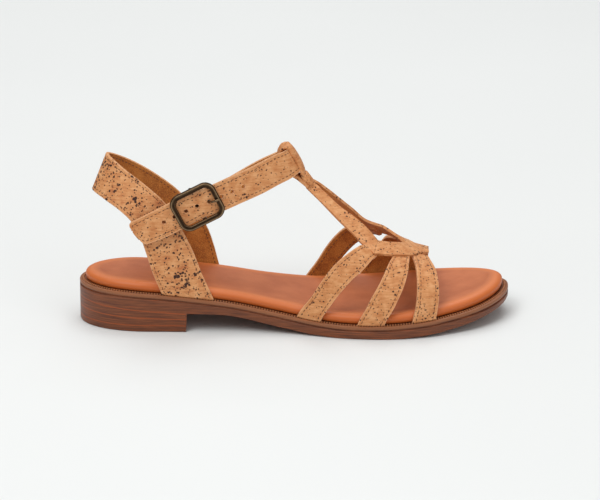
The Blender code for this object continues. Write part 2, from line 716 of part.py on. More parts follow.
def tube(name, path, radii, sides, closed, material):
    """Tube along a path in the buckle's frame; radii are its half sizes in the path's plane and across it."""
    points = [Vector(point) for point in path]
    count = len(points)
    mesh = bmesh.new()
    rings = []
    for i, point in enumerate(points):
        before = points[i - 1] if closed or i > 0 else point
        after = points[(i + 1) % count] if closed or i < count - 1 else point
        tangent = (after - before).normalized()
        across = Vector((0, 0, 1)) if abs(tangent.z) < 0.99 and closed else Vector((0, 1, 0))
        sideways = across.cross(tangent).normalized()
        ring = []
        for k in range(sides):
            angle = 2 * math.pi * (k + 0.5) / sides
            offset = sideways * math.cos(angle) * radii[0] + across * math.sin(angle) * radii[1]
            ring.append(mesh.verts.new(place(*buckle_point(*(point + offset)))))
        rings.append(ring)
    pairs = zip(rings, rings[1:] + rings[:1]) if closed else zip(rings, rings[1:])
    for low, high in pairs:
        for k in range(sides):
            m = (k + 1) % sides
            mesh.faces.new((low[k], low[m], high[m], high[k]))
    if not closed:
        mesh.faces.new(rings[0])
        mesh.faces.new(rings[-1])
    return finish_mesh(name, mesh, material)


def rounded_rectangle(length, width, corner, steps):
    """Points of a rounded rectangle, in the buckle's plane."""
    points = []
    for quarter in range(4):
        sign_u = 1 if quarter in (0, 3) else -1
        sign_v = 1 if quarter in (0, 1) else -1
        for step in range(steps + 1):
            angle = math.pi / 2 * (quarter + step / steps)
            u = sign_u * (length / 2 - corner) + corner * math.cos(angle)
            v = sign_v * (width / 2 - corner) + corner * math.sin(angle)
            points.append((u, v))
    return points


def centre_bar_depth():
    """How far the centre bar lies behind the strap's middle."""
    return STRAP_THICKNESS / 2 + FIT_GAP + eye_radius()


def eye_radius():
    """Outer radius of the holder's eye round the centre bar."""
    return CENTRE_BAR_RADIUS + FIT_GAP + TAB_SKIN


def frame_height():
    """How far the middle of the buckle's frame lies in front of the strap's middle."""
    return STRAP_THICKNESS / 2 + FIT_GAP + BUCKLE_DEPTH / 2


def build_buckle_frame(material):
    """Rounded frame, with a centre bar set back on two posts."""
    length, width = BUCKLE_LENGTH - BUCKLE_BAR, BUCKLE_WIDTH - BUCKLE_BAR
    corner = BUCKLE_CORNER - BUCKLE_BAR / 2
    rim = [(u, v, frame_height()) for u, v in rounded_rectangle(length, width, corner, 5)]
    frame = tube("buckle_frame", rim, (BUCKLE_BAR / 2, BUCKLE_DEPTH / 2), 8, True, material)
    back = -centre_bar_depth()
    reach = width / 2
    bar = [(0, -reach, back), (0, reach, back)]
    combine(frame, rod("centre_bar", bar, CENTRE_BAR_RADIUS, material), "UNION")
    for v in (-reach, reach):
        post = [(0, v, back - CENTRE_BAR_RADIUS), (0, v, frame_height())]
        combine(frame, rod("post", post, POST_RADIUS, material), "UNION")
    return frame


def rod(name, ends, radius, material):
    """Round rod between two points of the buckle's frame."""
    start, end = (place(*buckle_point(*point)) for point in ends)
    mesh = bmesh.new()
    turn = (end - start).to_track_quat("Z", "Y").to_matrix().to_4x4()
    bmesh.ops.create_cone(
        mesh,
        cap_ends=True,
        segments=12,
        radius1=radius,
        radius2=radius,
        depth=(end - start).length,
        matrix=Matrix.Translation((start + end) / 2) @ turn,
    )
    return finish_mesh(name, mesh, material)


def build_buckle_prong(material):
    """Prong: a ring round the centre bar and a shank up through the hole onto the front bar."""
    back = -centre_bar_depth()
    ring_radius = CENTRE_BAR_RADIUS + FIT_GAP + PRONG_RING_RADIUS
    ring = []
    for i in range(16):
        angle = 2 * math.pi * i / 16
        ring.append((ring_radius * math.cos(angle), 0.0, back + ring_radius * math.sin(angle)))
    prong = flat_tube("buckle_prong", ring, PRONG_RING_RADIUS, True, material)
    rest = frame_height() + BUCKLE_DEPTH / 2 + FIT_GAP + PRONG_RADIUS
    bar_u = BUCKLE_LENGTH / 2 - BUCKLE_BAR / 2
    clear = STRAP_THICKNESS / 2 + FIT_GAP + PRONG_RADIUS
    centre, along, upward, outward = buckle_frame_axes()
    hole = hole_places()[HOLES_BEHIND_PRONG][0] - centre
    hole_u, hole_v, hole_n = hole.dot(along), hole.dot(upward), hole.dot(outward)
    lean = hole_v / hole_u
    profile = (
        (ring_radius, back - PRONG_RING_RADIUS / 3),
        (hole_u * 0.75, hole_n - clear - PRONG_RADIUS),
        (hole_u, hole_n - clear / 2),
        (hole_u, hole_n + clear / 2),
        (hole_u + (bar_u - hole_u) * 0.35, rest * 0.75),
        (bar_u - BUCKLE_BAR / 2, rest),
        (bar_u + BUCKLE_BAR / 4, rest),
    )
    shank = [(u, u * lean, n) for u, n in profile]
    combine(prong, flat_tube("shank", shank, PRONG_RADIUS, False, material), "UNION")
    return prong


def flat_tube(name, path, radius, closed, material):
    """Round tube along a path that stays in the plane across the centre bar."""
    points = [Vector(point) for point in path]
    count = len(points)
    mesh = bmesh.new()
    rings = []
    across = Vector((0, 1, 0))
    for i, point in enumerate(points):
        before = points[i - 1] if closed or i > 0 else point
        after = points[(i + 1) % count] if closed or i < count - 1 else point
        sideways = across.cross(after - before).normalized()
        ring = []
        for k in range(8):
            angle = math.pi / 4 * k
            offset = (sideways * math.cos(angle) + across * math.sin(angle)) * radius
            ring.append(mesh.verts.new(place(*buckle_point(*(point + offset)))))
        rings.append(ring)
    pairs = zip(rings, rings[1:] + rings[:1]) if closed else zip(rings, rings[1:])
    for low, high in pairs:
        for k in range(8):
            m = (k + 1) % 8
            mesh.faces.new((low[k], low[m], high[m], high[k]))
    if not closed:
        mesh.faces.new(rings[0])
        mesh.faces.new(rings[-1])
    return finish_mesh(name, mesh, material)


def build_buckle_tab(material):
    """Holder: a folded strip on the heel band, with an eye round the centre bar and a slot for the prong."""
    back = -centre_bar_depth()
    front = back + eye_radius()
    profile = [(-TAB_LENGTH, front - TAB_THICKNESS), (-TAB_LENGTH, front)]
    for i in range(13):
        angle = math.pi / 2 - math.pi * 1.25 * i / 12
        profile.append((eye_radius() * math.cos(angle), back + eye_radius() * math.sin(angle)))
    profile.append((-eye_radius() * 1.4, front - TAB_THICKNESS))
    mesh = bmesh.new()
    faces = []
    for v in (-TAB_WIDTH / 2, TAB_WIDTH / 2):
        faces.append([mesh.verts.new(place(*buckle_point(u, v, n))) for u, n in profile])
    for face in faces:
        mesh.faces.new(face)
    count = len(profile)
    for i in range(count):
        j = (i + 1) % count
        mesh.faces.new((faces[0][i], faces[0][j], faces[1][j], faces[1][i]))
    tab = finish_mesh("buckle_tab", mesh, material)
    reach = TAB_WIDTH
    bore = [(0, -reach, back), (0, reach, back)]
    combine(tab, rod("bore", bore, CENTRE_BAR_RADIUS + FIT_GAP, material), "DIFFERENCE")
    slot = bmesh.new()
    bmesh.ops.create_cube(slot, size=1.0)
    slot_length = 3 * eye_radius()
    for vert in slot.verts:
        u = vert.co.x * slot_length + eye_radius() * 0.1
        point = buckle_point(u, vert.co.y * TAB_SLOT, back + vert.co.z * slot_length)
        vert.co = place(*point)
    combine(tab, finish_mesh("slot", slot, material), "DIFFERENCE")
    return tab


def build_outsole(material):
    """Moulded sole with its heel: chamfered foot, straight side, grooved welt and rounded rim."""
    levels = []
    foot = edge_ring(EDGE_CHAMFER)
    side = edge_ring(0.0)
    grooved = edge_ring(GROOVE_DEPTH)
    rim = edge_ring(RIM_ROUND)
    levels.append([(p.x, p.y, bottom_height(side[i].x)) for i, p in enumerate(foot)])
    levels.append([(p.x, p.y, bottom_height(p.x) + EDGE_CHAMFER) for p in side])
    welt = WELT_DROP + GROOVE_HEIGHT
    levels.append([(p.x, p.y, top_height(p.x) - welt - GROOVE_DEPTH / 2) for p in side])
    levels.append([(p.x, p.y, top_height(p.x) - welt) for p in grooved])
    levels.append([(p.x, p.y, top_height(p.x) - WELT_DROP) for p in grooved])
    levels.append([(p.x, p.y, top_height(p.x) - WELT_DROP + GROOVE_DEPTH / 2) for p in side])
    levels.append([(p.x, p.y, top_height(p.x) - RIM_ROUND) for p in side])
    levels.append([(p.x, p.y, top_height(p.x)) for p in rim])
    return ladder_solid("outsole", levels, material)


def build_footbed(material):
    """Padded footbed with a rolled edge and a slightly dished middle."""
    base = FOOTBED_INSET
    shape = (
        (base + FOOTBED_ROLL * 0.20, 0.00),
        (base, 0.30),
        (base + FOOTBED_ROLL * 0.05, 0.55),
        (base + FOOTBED_ROLL * 0.35, 0.86),
        (base + FOOTBED_ROLL, 1.00),
    )
    levels = []
    for inset, share in shape:
        lift = FIT_GAP + FOOTBED_THICKNESS * share
        levels.append([(p.x, p.y, top_height(p.x) + lift) for p in edge_ring(inset)])
    lift = FIT_GAP + FOOTBED_THICKNESS - FOOTBED_DISH
    levels.append([(p.x, p.y, top_height(p.x) + lift) for p in edge_ring(base + 2 * FOOTBED_ROLL)])
    return ladder_solid("footbed", levels, material)


def main():
    """Clear the scene and build the sandal."""
    for old in list(bpy.data.objects):
        bpy.data.objects.remove(old)
    cork = make_material("cork_fabric", (0.64, 0.28, 0.10), 0.6)
    rubber = make_material("moulded_sole", (0.14, 0.05, 0.025), 0.55)
    leather = make_material("footbed_leather", (0.46, 0.14, 0.06), 0.55)
    brass = make_material("antique_brass", (0.25, 0.17, 0.08), 0.35, 1.0)
    build_outsole(rubber)
    build_footbed(leather)
    build_front_upper(cork)
    build_heel_band(cork)
    build_ankle_strap(cork)
    build_buckle_frame(brass)
    build_buckle_prong(brass)
    build_buckle_tab(leather)


main()
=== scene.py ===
"""Dressed scene of a right T-strap sandal: cork fabric straps, padded footbed, moulded sole, brass buckle.

Lengths are metres in the part's own frame: +X runs to the toe, -Y is the outer side, +Z is up.
"""

import logging
import math
from dataclasses import dataclass
from enum import IntEnum
from typing import Callable, Iterator, Optional, Sequence, Union

import bmesh
import bpy
import numpy as np
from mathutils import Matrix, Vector

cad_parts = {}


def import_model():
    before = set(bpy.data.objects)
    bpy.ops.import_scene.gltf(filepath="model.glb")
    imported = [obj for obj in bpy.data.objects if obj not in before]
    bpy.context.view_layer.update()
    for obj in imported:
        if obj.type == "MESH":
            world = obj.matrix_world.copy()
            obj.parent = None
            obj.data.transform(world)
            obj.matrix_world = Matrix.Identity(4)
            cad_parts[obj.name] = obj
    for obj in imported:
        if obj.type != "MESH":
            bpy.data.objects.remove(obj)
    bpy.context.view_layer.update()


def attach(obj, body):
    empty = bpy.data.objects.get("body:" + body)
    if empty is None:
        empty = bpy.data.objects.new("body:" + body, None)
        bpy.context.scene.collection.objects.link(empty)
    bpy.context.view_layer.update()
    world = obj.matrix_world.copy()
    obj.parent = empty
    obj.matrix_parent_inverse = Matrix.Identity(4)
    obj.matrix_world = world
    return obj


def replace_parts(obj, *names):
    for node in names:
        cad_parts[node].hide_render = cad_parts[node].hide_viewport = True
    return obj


log = logging.getLogger("sandal")

MM = 0.001
SOLE_LENGTH = 252 * MM
BALL_HALF_WIDTH = 46 * MM
INSTEP_HEIGHT = 84 * MM
HEEL_SEAT_HEIGHT = 24.5 * MM
HEEL_LENGTH = 62 * MM
HEEL_ROUNDING = 40 * MM
TOE_ROUNDING = 50 * MM
TOE_SWING = 9.5 * MM
TOE_SWING_START = 0.6
BREAST_SLOPE = 0.6 * MM
LAST_FULLNESS = 2.4

STRAP_THICKNESS = 2.0 * MM
FIT_GAP = 0.3 * MM
RIM_WIDTH = 1.2 * MM
FOOT_INSET = RIM_WIDTH + STRAP_THICKNESS / 2
OVER_BAND = STRAP_THICKNESS + FIT_GAP
TAB_SKIN = 1.3 * MM
OVER_TAB = OVER_BAND + 2 * TAB_SKIN + FIT_GAP

STITCH_PITCH = 2.6 * MM
# Distance in mm from a raw edge that is stored where there is none near
NO_EDGE = 5.0
# Length that a front strap's folds are measured with, and how its top slips under the kite
FOLD_SCALE = 0.62 * SOLE_LENGTH
TUCK_RAMP = 1.5
TUCK_INWARD = 0.55
TUCK_DOWN = 0.8

Point = Sequence[float]
Row = Sequence[float]
Object = bpy.types.Object
Material = bpy.types.Material
Socket = bpy.types.NodeSocket
Setting = Union[str, float]
Line = Sequence[tuple[float, float]]
Stitch = tuple[Vector, Vector, Vector]


class Side(IntEnum):
    """Side of the shoe, as the sign of Y."""

    OUTER = -1
    INNER = 1


# Sole: share of the length, then half widths to the outer and inner side as shares of the ball's
SOLE_STATIONS = (
    (0.00, 0.624, 0.643), (0.14, 0.630, 0.639), (0.28, 0.667, 0.624), (0.42, 0.722, 0.622),
    (0.49, 0.787, 0.687), (0.55, 0.870, 0.772), (0.60, 0.948, 0.843), (0.65, 0.996, 0.896),
    (0.70, 1.013, 0.926), (0.75, 0.998, 0.941), (0.80, 0.948, 0.941), (0.86, 0.857, 0.926),
    (0.93, 0.813, 0.917), (1.00, 0.783, 0.909),
)
# Sole's top and underside: share of the length, height as a share of the heel seat's
TOP_STATIONS = (
    (0.00, 1.000), (0.14, 0.947), (0.25, 0.849), (0.35, 0.722), (0.45, 0.527),
    (0.55, 0.355), (0.65, 0.318), (0.75, 0.351), (0.86, 0.453), (1.00, 0.649),
)
ARCH_STATIONS = (
    (0.24, 0.450), (0.35, 0.405), (0.45, 0.188), (0.55, 0.022), (0.59, 0.000),
    (0.66, 0.000), (0.73, 0.000), (0.86, 0.122), (1.00, 0.390),
)
# Ridge of the foot's form: share of the length, height, place across
RIDGE_STATIONS = (
    (0.476, 1.083, 0.000), (0.504, 1.042, 0.000), (0.532, 0.994, 0.000), (0.571, 0.911, 0.004),
    (0.611, 0.812, 0.011), (0.651, 0.723, 0.015), (0.690, 0.643, 0.022), (0.722, 0.590, 0.020),
    (0.754, 0.539, 0.015), (0.810, 0.468, 0.011), (0.841, 0.435, 0.011),
)
# Front straps: place along and rise over the foot of the rear edge, then of the front edge
FRONT_STRAPS = (
    (
        (0.501, 0.000, 0.556, 0.000), (0.531, 0.075, 0.576, 0.060), (0.558, 0.180, 0.599, 0.145),
        (0.591, 0.325, 0.625, 0.250), (0.623, 0.465, 0.653, 0.370), (0.655, 0.620, 0.681, 0.553),
        (0.668, 0.690, 0.687, 0.610),
    ),
    (
        (0.639, 0.000, 0.701, 0.000), (0.657, 0.080, 0.719, 0.090), (0.671, 0.170, 0.732, 0.190),
        (0.687, 0.280, 0.745, 0.320), (0.700, 0.395, 0.754, 0.465), (0.712, 0.530, 0.759, 0.610),
        (0.723, 0.660, 0.762, 0.750), (0.728, 0.740, 0.762, 0.820),
    ),
    (
        (0.765, 0.000, 0.820, 0.000), (0.771, 0.090, 0.823, 0.090), (0.775, 0.200, 0.826, 0.200),
        (0.777, 0.350, 0.827, 0.350), (0.777, 0.500, 0.825, 0.520), (0.775, 0.650, 0.820, 0.680),
        (0.771, 0.790, 0.812, 0.830), (0.768, 0.860, 0.807, 0.900),
    ),
)
INNER_FORWARD = (0.021, 0.012, -0.008)
# How deep each strap's top slips under the kite in mm, and from what share of its length
OUTER_TUCKS = ((3.1, 0.82), (1.9, 0.72), (2.2, 0.72))
INNER_TUCKS = ((3.4, 0.72), (3.3, 0.60), (4.2, 0.50))
# Kite's arms: inner edge then outer edge, as shares of length, ball half width and instep height
OUTER_ARM = (
    (0.534, -0.011, 1.000, 0.524, -0.098, 0.936), (0.552, -0.043, 0.956, 0.545, -0.152, 0.881),
    (0.579, -0.109, 0.883, 0.571, -0.250, 0.818), (0.607, -0.174, 0.813, 0.599, -0.348, 0.745),
    (0.635, -0.250, 0.762, 0.627, -0.424, 0.670), (0.663, -0.315, 0.695, 0.655, -0.533, 0.599),
    (0.690, -0.398, 0.612, 0.679, -0.628, 0.558), (0.714, -0.320, 0.587, 0.724, -0.543, 0.533),
    (0.737, -0.198, 0.562, 0.768, -0.365, 0.500), (0.758, -0.033, 0.526, 0.792, -0.170, 0.481),
    (0.778, 0.018, 0.498, 0.803, -0.115, 0.472), (0.811, 0.065, 0.467, 0.811, -0.065, 0.466),
)
INNER_ARM = (
    (0.534, 0.011, 1.000, 0.524, 0.098, 0.943), (0.550, 0.043, 0.973, 0.545, 0.152, 0.899),
    (0.579, 0.109, 0.898, 0.571, 0.250, 0.833), (0.607, 0.174, 0.818, 0.599, 0.348, 0.752),
    (0.635, 0.250, 0.736, 0.625, 0.446, 0.665), (0.667, 0.317, 0.642, 0.657, 0.533, 0.578),
    (0.708, 0.315, 0.595, 0.698, 0.565, 0.521), (0.730, 0.228, 0.563, 0.744, 0.467, 0.490),
    (0.748, 0.109, 0.539, 0.772, 0.315, 0.481), (0.760, 0.011, 0.516, 0.794, 0.150, 0.468),
    (0.768, -0.009, 0.502, 0.811, 0.060, 0.458),
)
# Side view of the loop: outer skin then inner skin, from the neck over the top and back down
LOOP_FOLDS = (
    (0.541, 0.985, 0.527, 0.990), (0.529, 1.022, 0.521, 1.020), (0.523, 1.078, 0.516, 1.070),
    (0.515, 1.137, 0.508, 1.127), (0.505, 1.190, 0.498, 1.178), (0.496, 1.228, 0.491, 1.212),
    (0.487, 1.249, 0.486, 1.230), (0.478, 1.241, 0.480, 1.224), (0.469, 1.210, 0.475, 1.206),
    (0.465, 1.178, 0.472, 1.180), (0.474, 1.105, 0.481, 1.112), (0.490, 1.045, 0.496, 1.056),
    (0.508, 1.010, 0.513, 1.030), (0.522, 0.975, 0.527, 0.997), (0.536, 0.938, 0.536, 0.962),
)
# Ends of the neck's middle line, as shares of length and instep height, and its oval's half sizes
NECK_ENDS = ((0.5195, 1.033), (0.5370, 0.961))
NECK_HALF_WIDTH = 5.0 * MM
NECK_HALF_DEPTH = 2.7 * MM
# Heel band's feet: side, rear and front place along, how far it leans back over the footbed's edge
HEEL_BAND_FEET = ((Side.OUTER, 0.192, 0.311, 0.009), (Side.INNER, 0.212, 0.329, 0.006))
HEEL_BAND = (
    (0.171, -0.598, 0.423, 0.285, -0.591, 0.405), (0.157, -0.572, 0.554, 0.264, -0.554, 0.571),
    (0.144, -0.543, 0.667, 0.236, -0.522, 0.738), (0.121, -0.500, 0.786, 0.198, -0.446, 0.912),
    (0.096, -0.435, 0.850, 0.157, -0.380, 1.018), (0.061, -0.283, 0.907, 0.107, -0.239, 1.117),
    (0.035, 0.000, 0.931, 0.069, 0.000, 1.192), (0.063, 0.272, 0.908, 0.115, 0.261, 1.106),
    (0.101, 0.413, 0.852, 0.175, 0.391, 0.980), (0.131, 0.485, 0.786, 0.226, 0.452, 0.851),
    (0.161, 0.522, 0.667, 0.264, 0.485, 0.714), (0.179, 0.550, 0.554, 0.294, 0.522, 0.574),
    (0.193, 0.583, 0.417, 0.312, 0.574, 0.417),
)
# Ankle strap: top edge then low edge on the leg, and what lies between the leg and its middle
ANKLE_STRAP = (
    (0.114, -0.524, 0.776, 0.152, -0.572, 0.630, OVER_BAND),
    (0.167, -0.500, 0.862, 0.202, -0.522, 0.692, OVER_TAB),
    (0.217, -0.522, 0.942, 0.242, -0.522, 0.754, OVER_TAB),
    (0.264, -0.522, 1.003, 0.290, -0.522, 0.832, OVER_TAB),
    (0.310, -0.520, 1.062, 0.335, -0.520, 0.878, OVER_TAB),
    (0.347, -0.533, 1.098, 0.371, -0.543, 0.912, 0.0),
    (0.398, -0.413, 1.150, 0.427, -0.413, 0.968, 0.0),
    (0.433, -0.337, 1.193, 0.462, -0.337, 1.014, 0.0),
    (0.457, -0.261, 1.217, 0.487, -0.261, 1.040, 0.0),
    (0.475, -0.170, 1.223, 0.505, -0.170, 1.062, 0.0),
    (0.483, 0.000, 1.221, 0.513, 0.000, 1.062, 0.0),
    (0.477, 0.120, 1.198, 0.509, 0.120, 1.040, 0.0),
    (0.462, 0.217, 1.157, 0.496, 0.239, 1.005, 0.0),
    (0.417, 0.348, 1.071, 0.451, 0.374, 0.918, 0.0),
    (0.373, 0.435, 0.980, 0.407, 0.467, 0.826, 0.0),
    (0.317, 0.470, 0.863, 0.349, 0.500, 0.708, OVER_BAND / 2),
    (0.278, 0.490, 0.769, 0.312, 0.526, 0.614, OVER_BAND),
    (0.238, 0.512, 0.679, 0.272, 0.546, 0.524, OVER_BAND),
)


def place(x: float, y: float, z: float) -> Vector:
    """Point in the part's frame from x measured from the heel's back."""
    return Vector((x - HEEL_LENGTH / 2, y, z))


def share_point(along: float, across: float, up: float) -> tuple[float, float, float]:
    """Place from shares of the sole's length, the ball's half width and the instep's height."""
    return along * SOLE_LENGTH, across * BALL_HALF_WIDTH, up * INSTEP_HEIGHT


class Flow:
    """Smooth curve through rows of numbers, measured by the chord between them or by given places."""

    def __init__(self, rows: Sequence[Row], places: Optional[Sequence[float]] = None) -> None:
        """Works out the curve's tangents.

        Args:
            rows: rows of numbers that the curve passes through.
            places: place of each row along the curve; without them, the distance between rows.
        """
        self.table = np.array(rows, float)
        if places is None:
            chord = np.linalg.norm(np.diff(self.table, axis=0), axis=1)
            places = np.concatenate([[0.0], np.cumsum(chord)])
        self.places = np.array(places, float)
        gaps = np.diff(self.places)[:, None]
        slopes = np.diff(self.table, axis=0) / gaps
        self.tangents = np.empty_like(self.table)
        self.tangents[0], self.tangents[-1] = slopes[0], slopes[-1]
        self.tangents[1:-1] = (slopes[:-1] * gaps[1:] + slopes[1:] * gaps[:-1]) / (gaps[:-1] + gaps[1:])

    @property
    def length(self) -> float:
        """Last place on the curve."""
        return float(self.places[-1])

    def at(self, place_on: float) -> np.ndarray:
        """Reads the curve.

        Args:
            place_on: place along the curve.

        Returns:
            The numbers there.
        """
        at = min(max(place_on, self.places[0]), self.places[-1])
        i = min(max(int(np.searchsorted(self.places, at, side="right")) - 1, 0), len(self.places) - 2)
        gap = self.places[i + 1] - self.places[i]
        t = (at - self.places[i]) / gap
        return (
            (2 * t**3 - 3 * t**2 + 1) * self.table[i]
            + (t**3 - 2 * t**2 + t) * gap * self.tangents[i]
            + (3 * t**2 - 2 * t**3) * self.table[i + 1]
            + (t**3 - t**2) * gap * self.tangents[i + 1]
        )


def station_curve(rows: Sequence[Row]) -> Flow:
    """Curve through rows that begin with their place along it."""
    return Flow([row[1:] for row in rows], [row[0] for row in rows])


class FootForm:
    """Plan and heights of the sole, and the form over it that the straps lie on."""

    def __init__(self) -> None:
        """Makes the curves through the station tables."""
        self.widths = station_curve(SOLE_STATIONS)
        self.tops = station_curve(TOP_STATIONS)
        self.arch = station_curve(ARCH_STATIONS)
        self.ridge = station_curve(RIDGE_STATIONS)

    def edge_y(self, x: float, side: Side) -> float:
        """Finds the sole's edge.

        Args:
            x: place along, from the heel's back.
            side: side of the shoe.

        Returns:
            The edge's place across.
        """
        column = 0 if side == Side.OUTER else 1
        half = self.widths.at(x / SOLE_LENGTH)[column] * BALL_HALF_WIDTH
        swing = TOE_SWING * max(0.0, (x / SOLE_LENGTH - TOE_SWING_START) / (1 - TOE_SWING_START)) ** 2
        rounding = 1.0
        if x < HEEL_ROUNDING:
            rounding = math.sqrt(max(0.0, 1 - ((HEEL_ROUNDING - x) / HEEL_ROUNDING) ** 2))
        toe_start = SOLE_LENGTH - TOE_ROUNDING
        if x > toe_start:
            rounding = math.sqrt(max(0.0, 1 - ((x - toe_start) / TOE_ROUNDING) ** 2))
        return swing + side * (half - side * swing) * rounding

    def top(self, x: float) -> float:
        """Height of the sole's top."""
        return float(self.tops.at(x / SOLE_LENGTH)[0]) * HEEL_SEAT_HEIGHT

    def underside(self, x: float) -> float:
        """Finds the sole's underside.

        Args:
            x: place along, from the heel's back.

        Returns:
            Its height, which is 0 under the heel.
        """
        if x <= HEEL_LENGTH:
            return 0.0
        return max(0.0, float(self.arch.at(x / SOLE_LENGTH)[0])) * HEEL_SEAT_HEIGHT

    def over(self, along: float, side: Side, rise: float) -> Vector:
        """Finds a point on the foot's form.

        Args:
            along: share of the length.
            side: side of the shoe.
            rise: turn from the sole's edge (0) to the ridge (1).

        Returns:
            The point.
        """
        x = along * SOLE_LENGTH
        height, across = self.ridge.at(along)
        base_y = self.edge_y(x, side) - side * FOOT_INSET
        base_z = self.top(x) + FIT_GAP
        turn = rise * math.pi / 2
        ridge_y, ridge_z = across * BALL_HALF_WIDTH, height * INSTEP_HEIGHT
        y = ridge_y + (base_y - ridge_y) * math.cos(turn) ** (2 / LAST_FULLNESS)
        z = base_z + (ridge_z - base_z) * math.sin(turn) ** (2 / LAST_FULLNESS)
        return Vector((x, y, z))

    def rungs(self, inset: float, count: int) -> list[tuple[Vector, Vector]]:
        """Pairs of points on the outer and inner edge from heel to toe, moved inward.

        Args:
            inset: distance from the sole's edge.
            count: number of rungs between the two tips.

        Returns:
            The pairs; the first and last are the two tips, whose points coincide.
        """
        xs = [SOLE_LENGTH * (1 - math.cos(math.pi * i / count)) / 2 for i in range(count + 1)]
        xs = [x for x in xs if abs(x - HEEL_LENGTH) > 3 * BREAST_SLOPE]
        xs = sorted(xs + [HEEL_LENGTH, HEEL_LENGTH + BREAST_SLOPE])
        ring = [Vector((x, self.edge_y(x, Side.OUTER))) for x in xs]
        ring += [Vector((x, self.edge_y(x, Side.INNER))) for x in reversed(xs[1:-1])]
        moved = []
        for i, point in enumerate(ring):
            tangent = (ring[(i + 1) % len(ring)] - ring[i - 1]).normalized()
            moved.append(point + Vector((-tangent.y, tangent.x)) * inset)
        last = len(xs) - 1
        pairs = [(moved[i], moved[-i] if i else moved[0]) for i in range(last)]
        return pairs + [(moved[last], moved[last])]


FOOT = FootForm()


def linear(code: str) -> tuple[float, float, float, float]:
    """Turns an sRGB hex code to linear light.

    Args:
        code: colour as #RRGGBB.

    Returns:
        Its linear red, green, blue and opacity.
    """
    parts = [int(code[i : i + 2], 16) / 255 for i in (1, 3, 5)]
    turned = [part / 12.92 if part <= 0.04045 else ((part + 0.055) / 1.055) ** 2.4 for part in parts]
    return turned[0], turned[1], turned[2], 1.0


def add_node(
    tree: bpy.types.NodeTree, kind: str, inputs: Optional[dict] = None, **settings: Setting
) -> bpy.types.Node:
    """Adds one node.

    Args:
        tree: node tree that gets it.
        kind: node type without its ShaderNode prefix.
        inputs: a value, or a socket to link, for each input by its name or number.
        settings: properties of the node.

    Returns:
        The node.
    """
    node = tree.nodes.new("ShaderNode" + kind)
    for name, value in settings.items():
        setattr(node, name, value)
    for key, value in (inputs or {}).items():
        if isinstance(value, Socket):
            tree.links.new(value, node.inputs[key])
        else:
            node.inputs[key].default_value = value
    return node


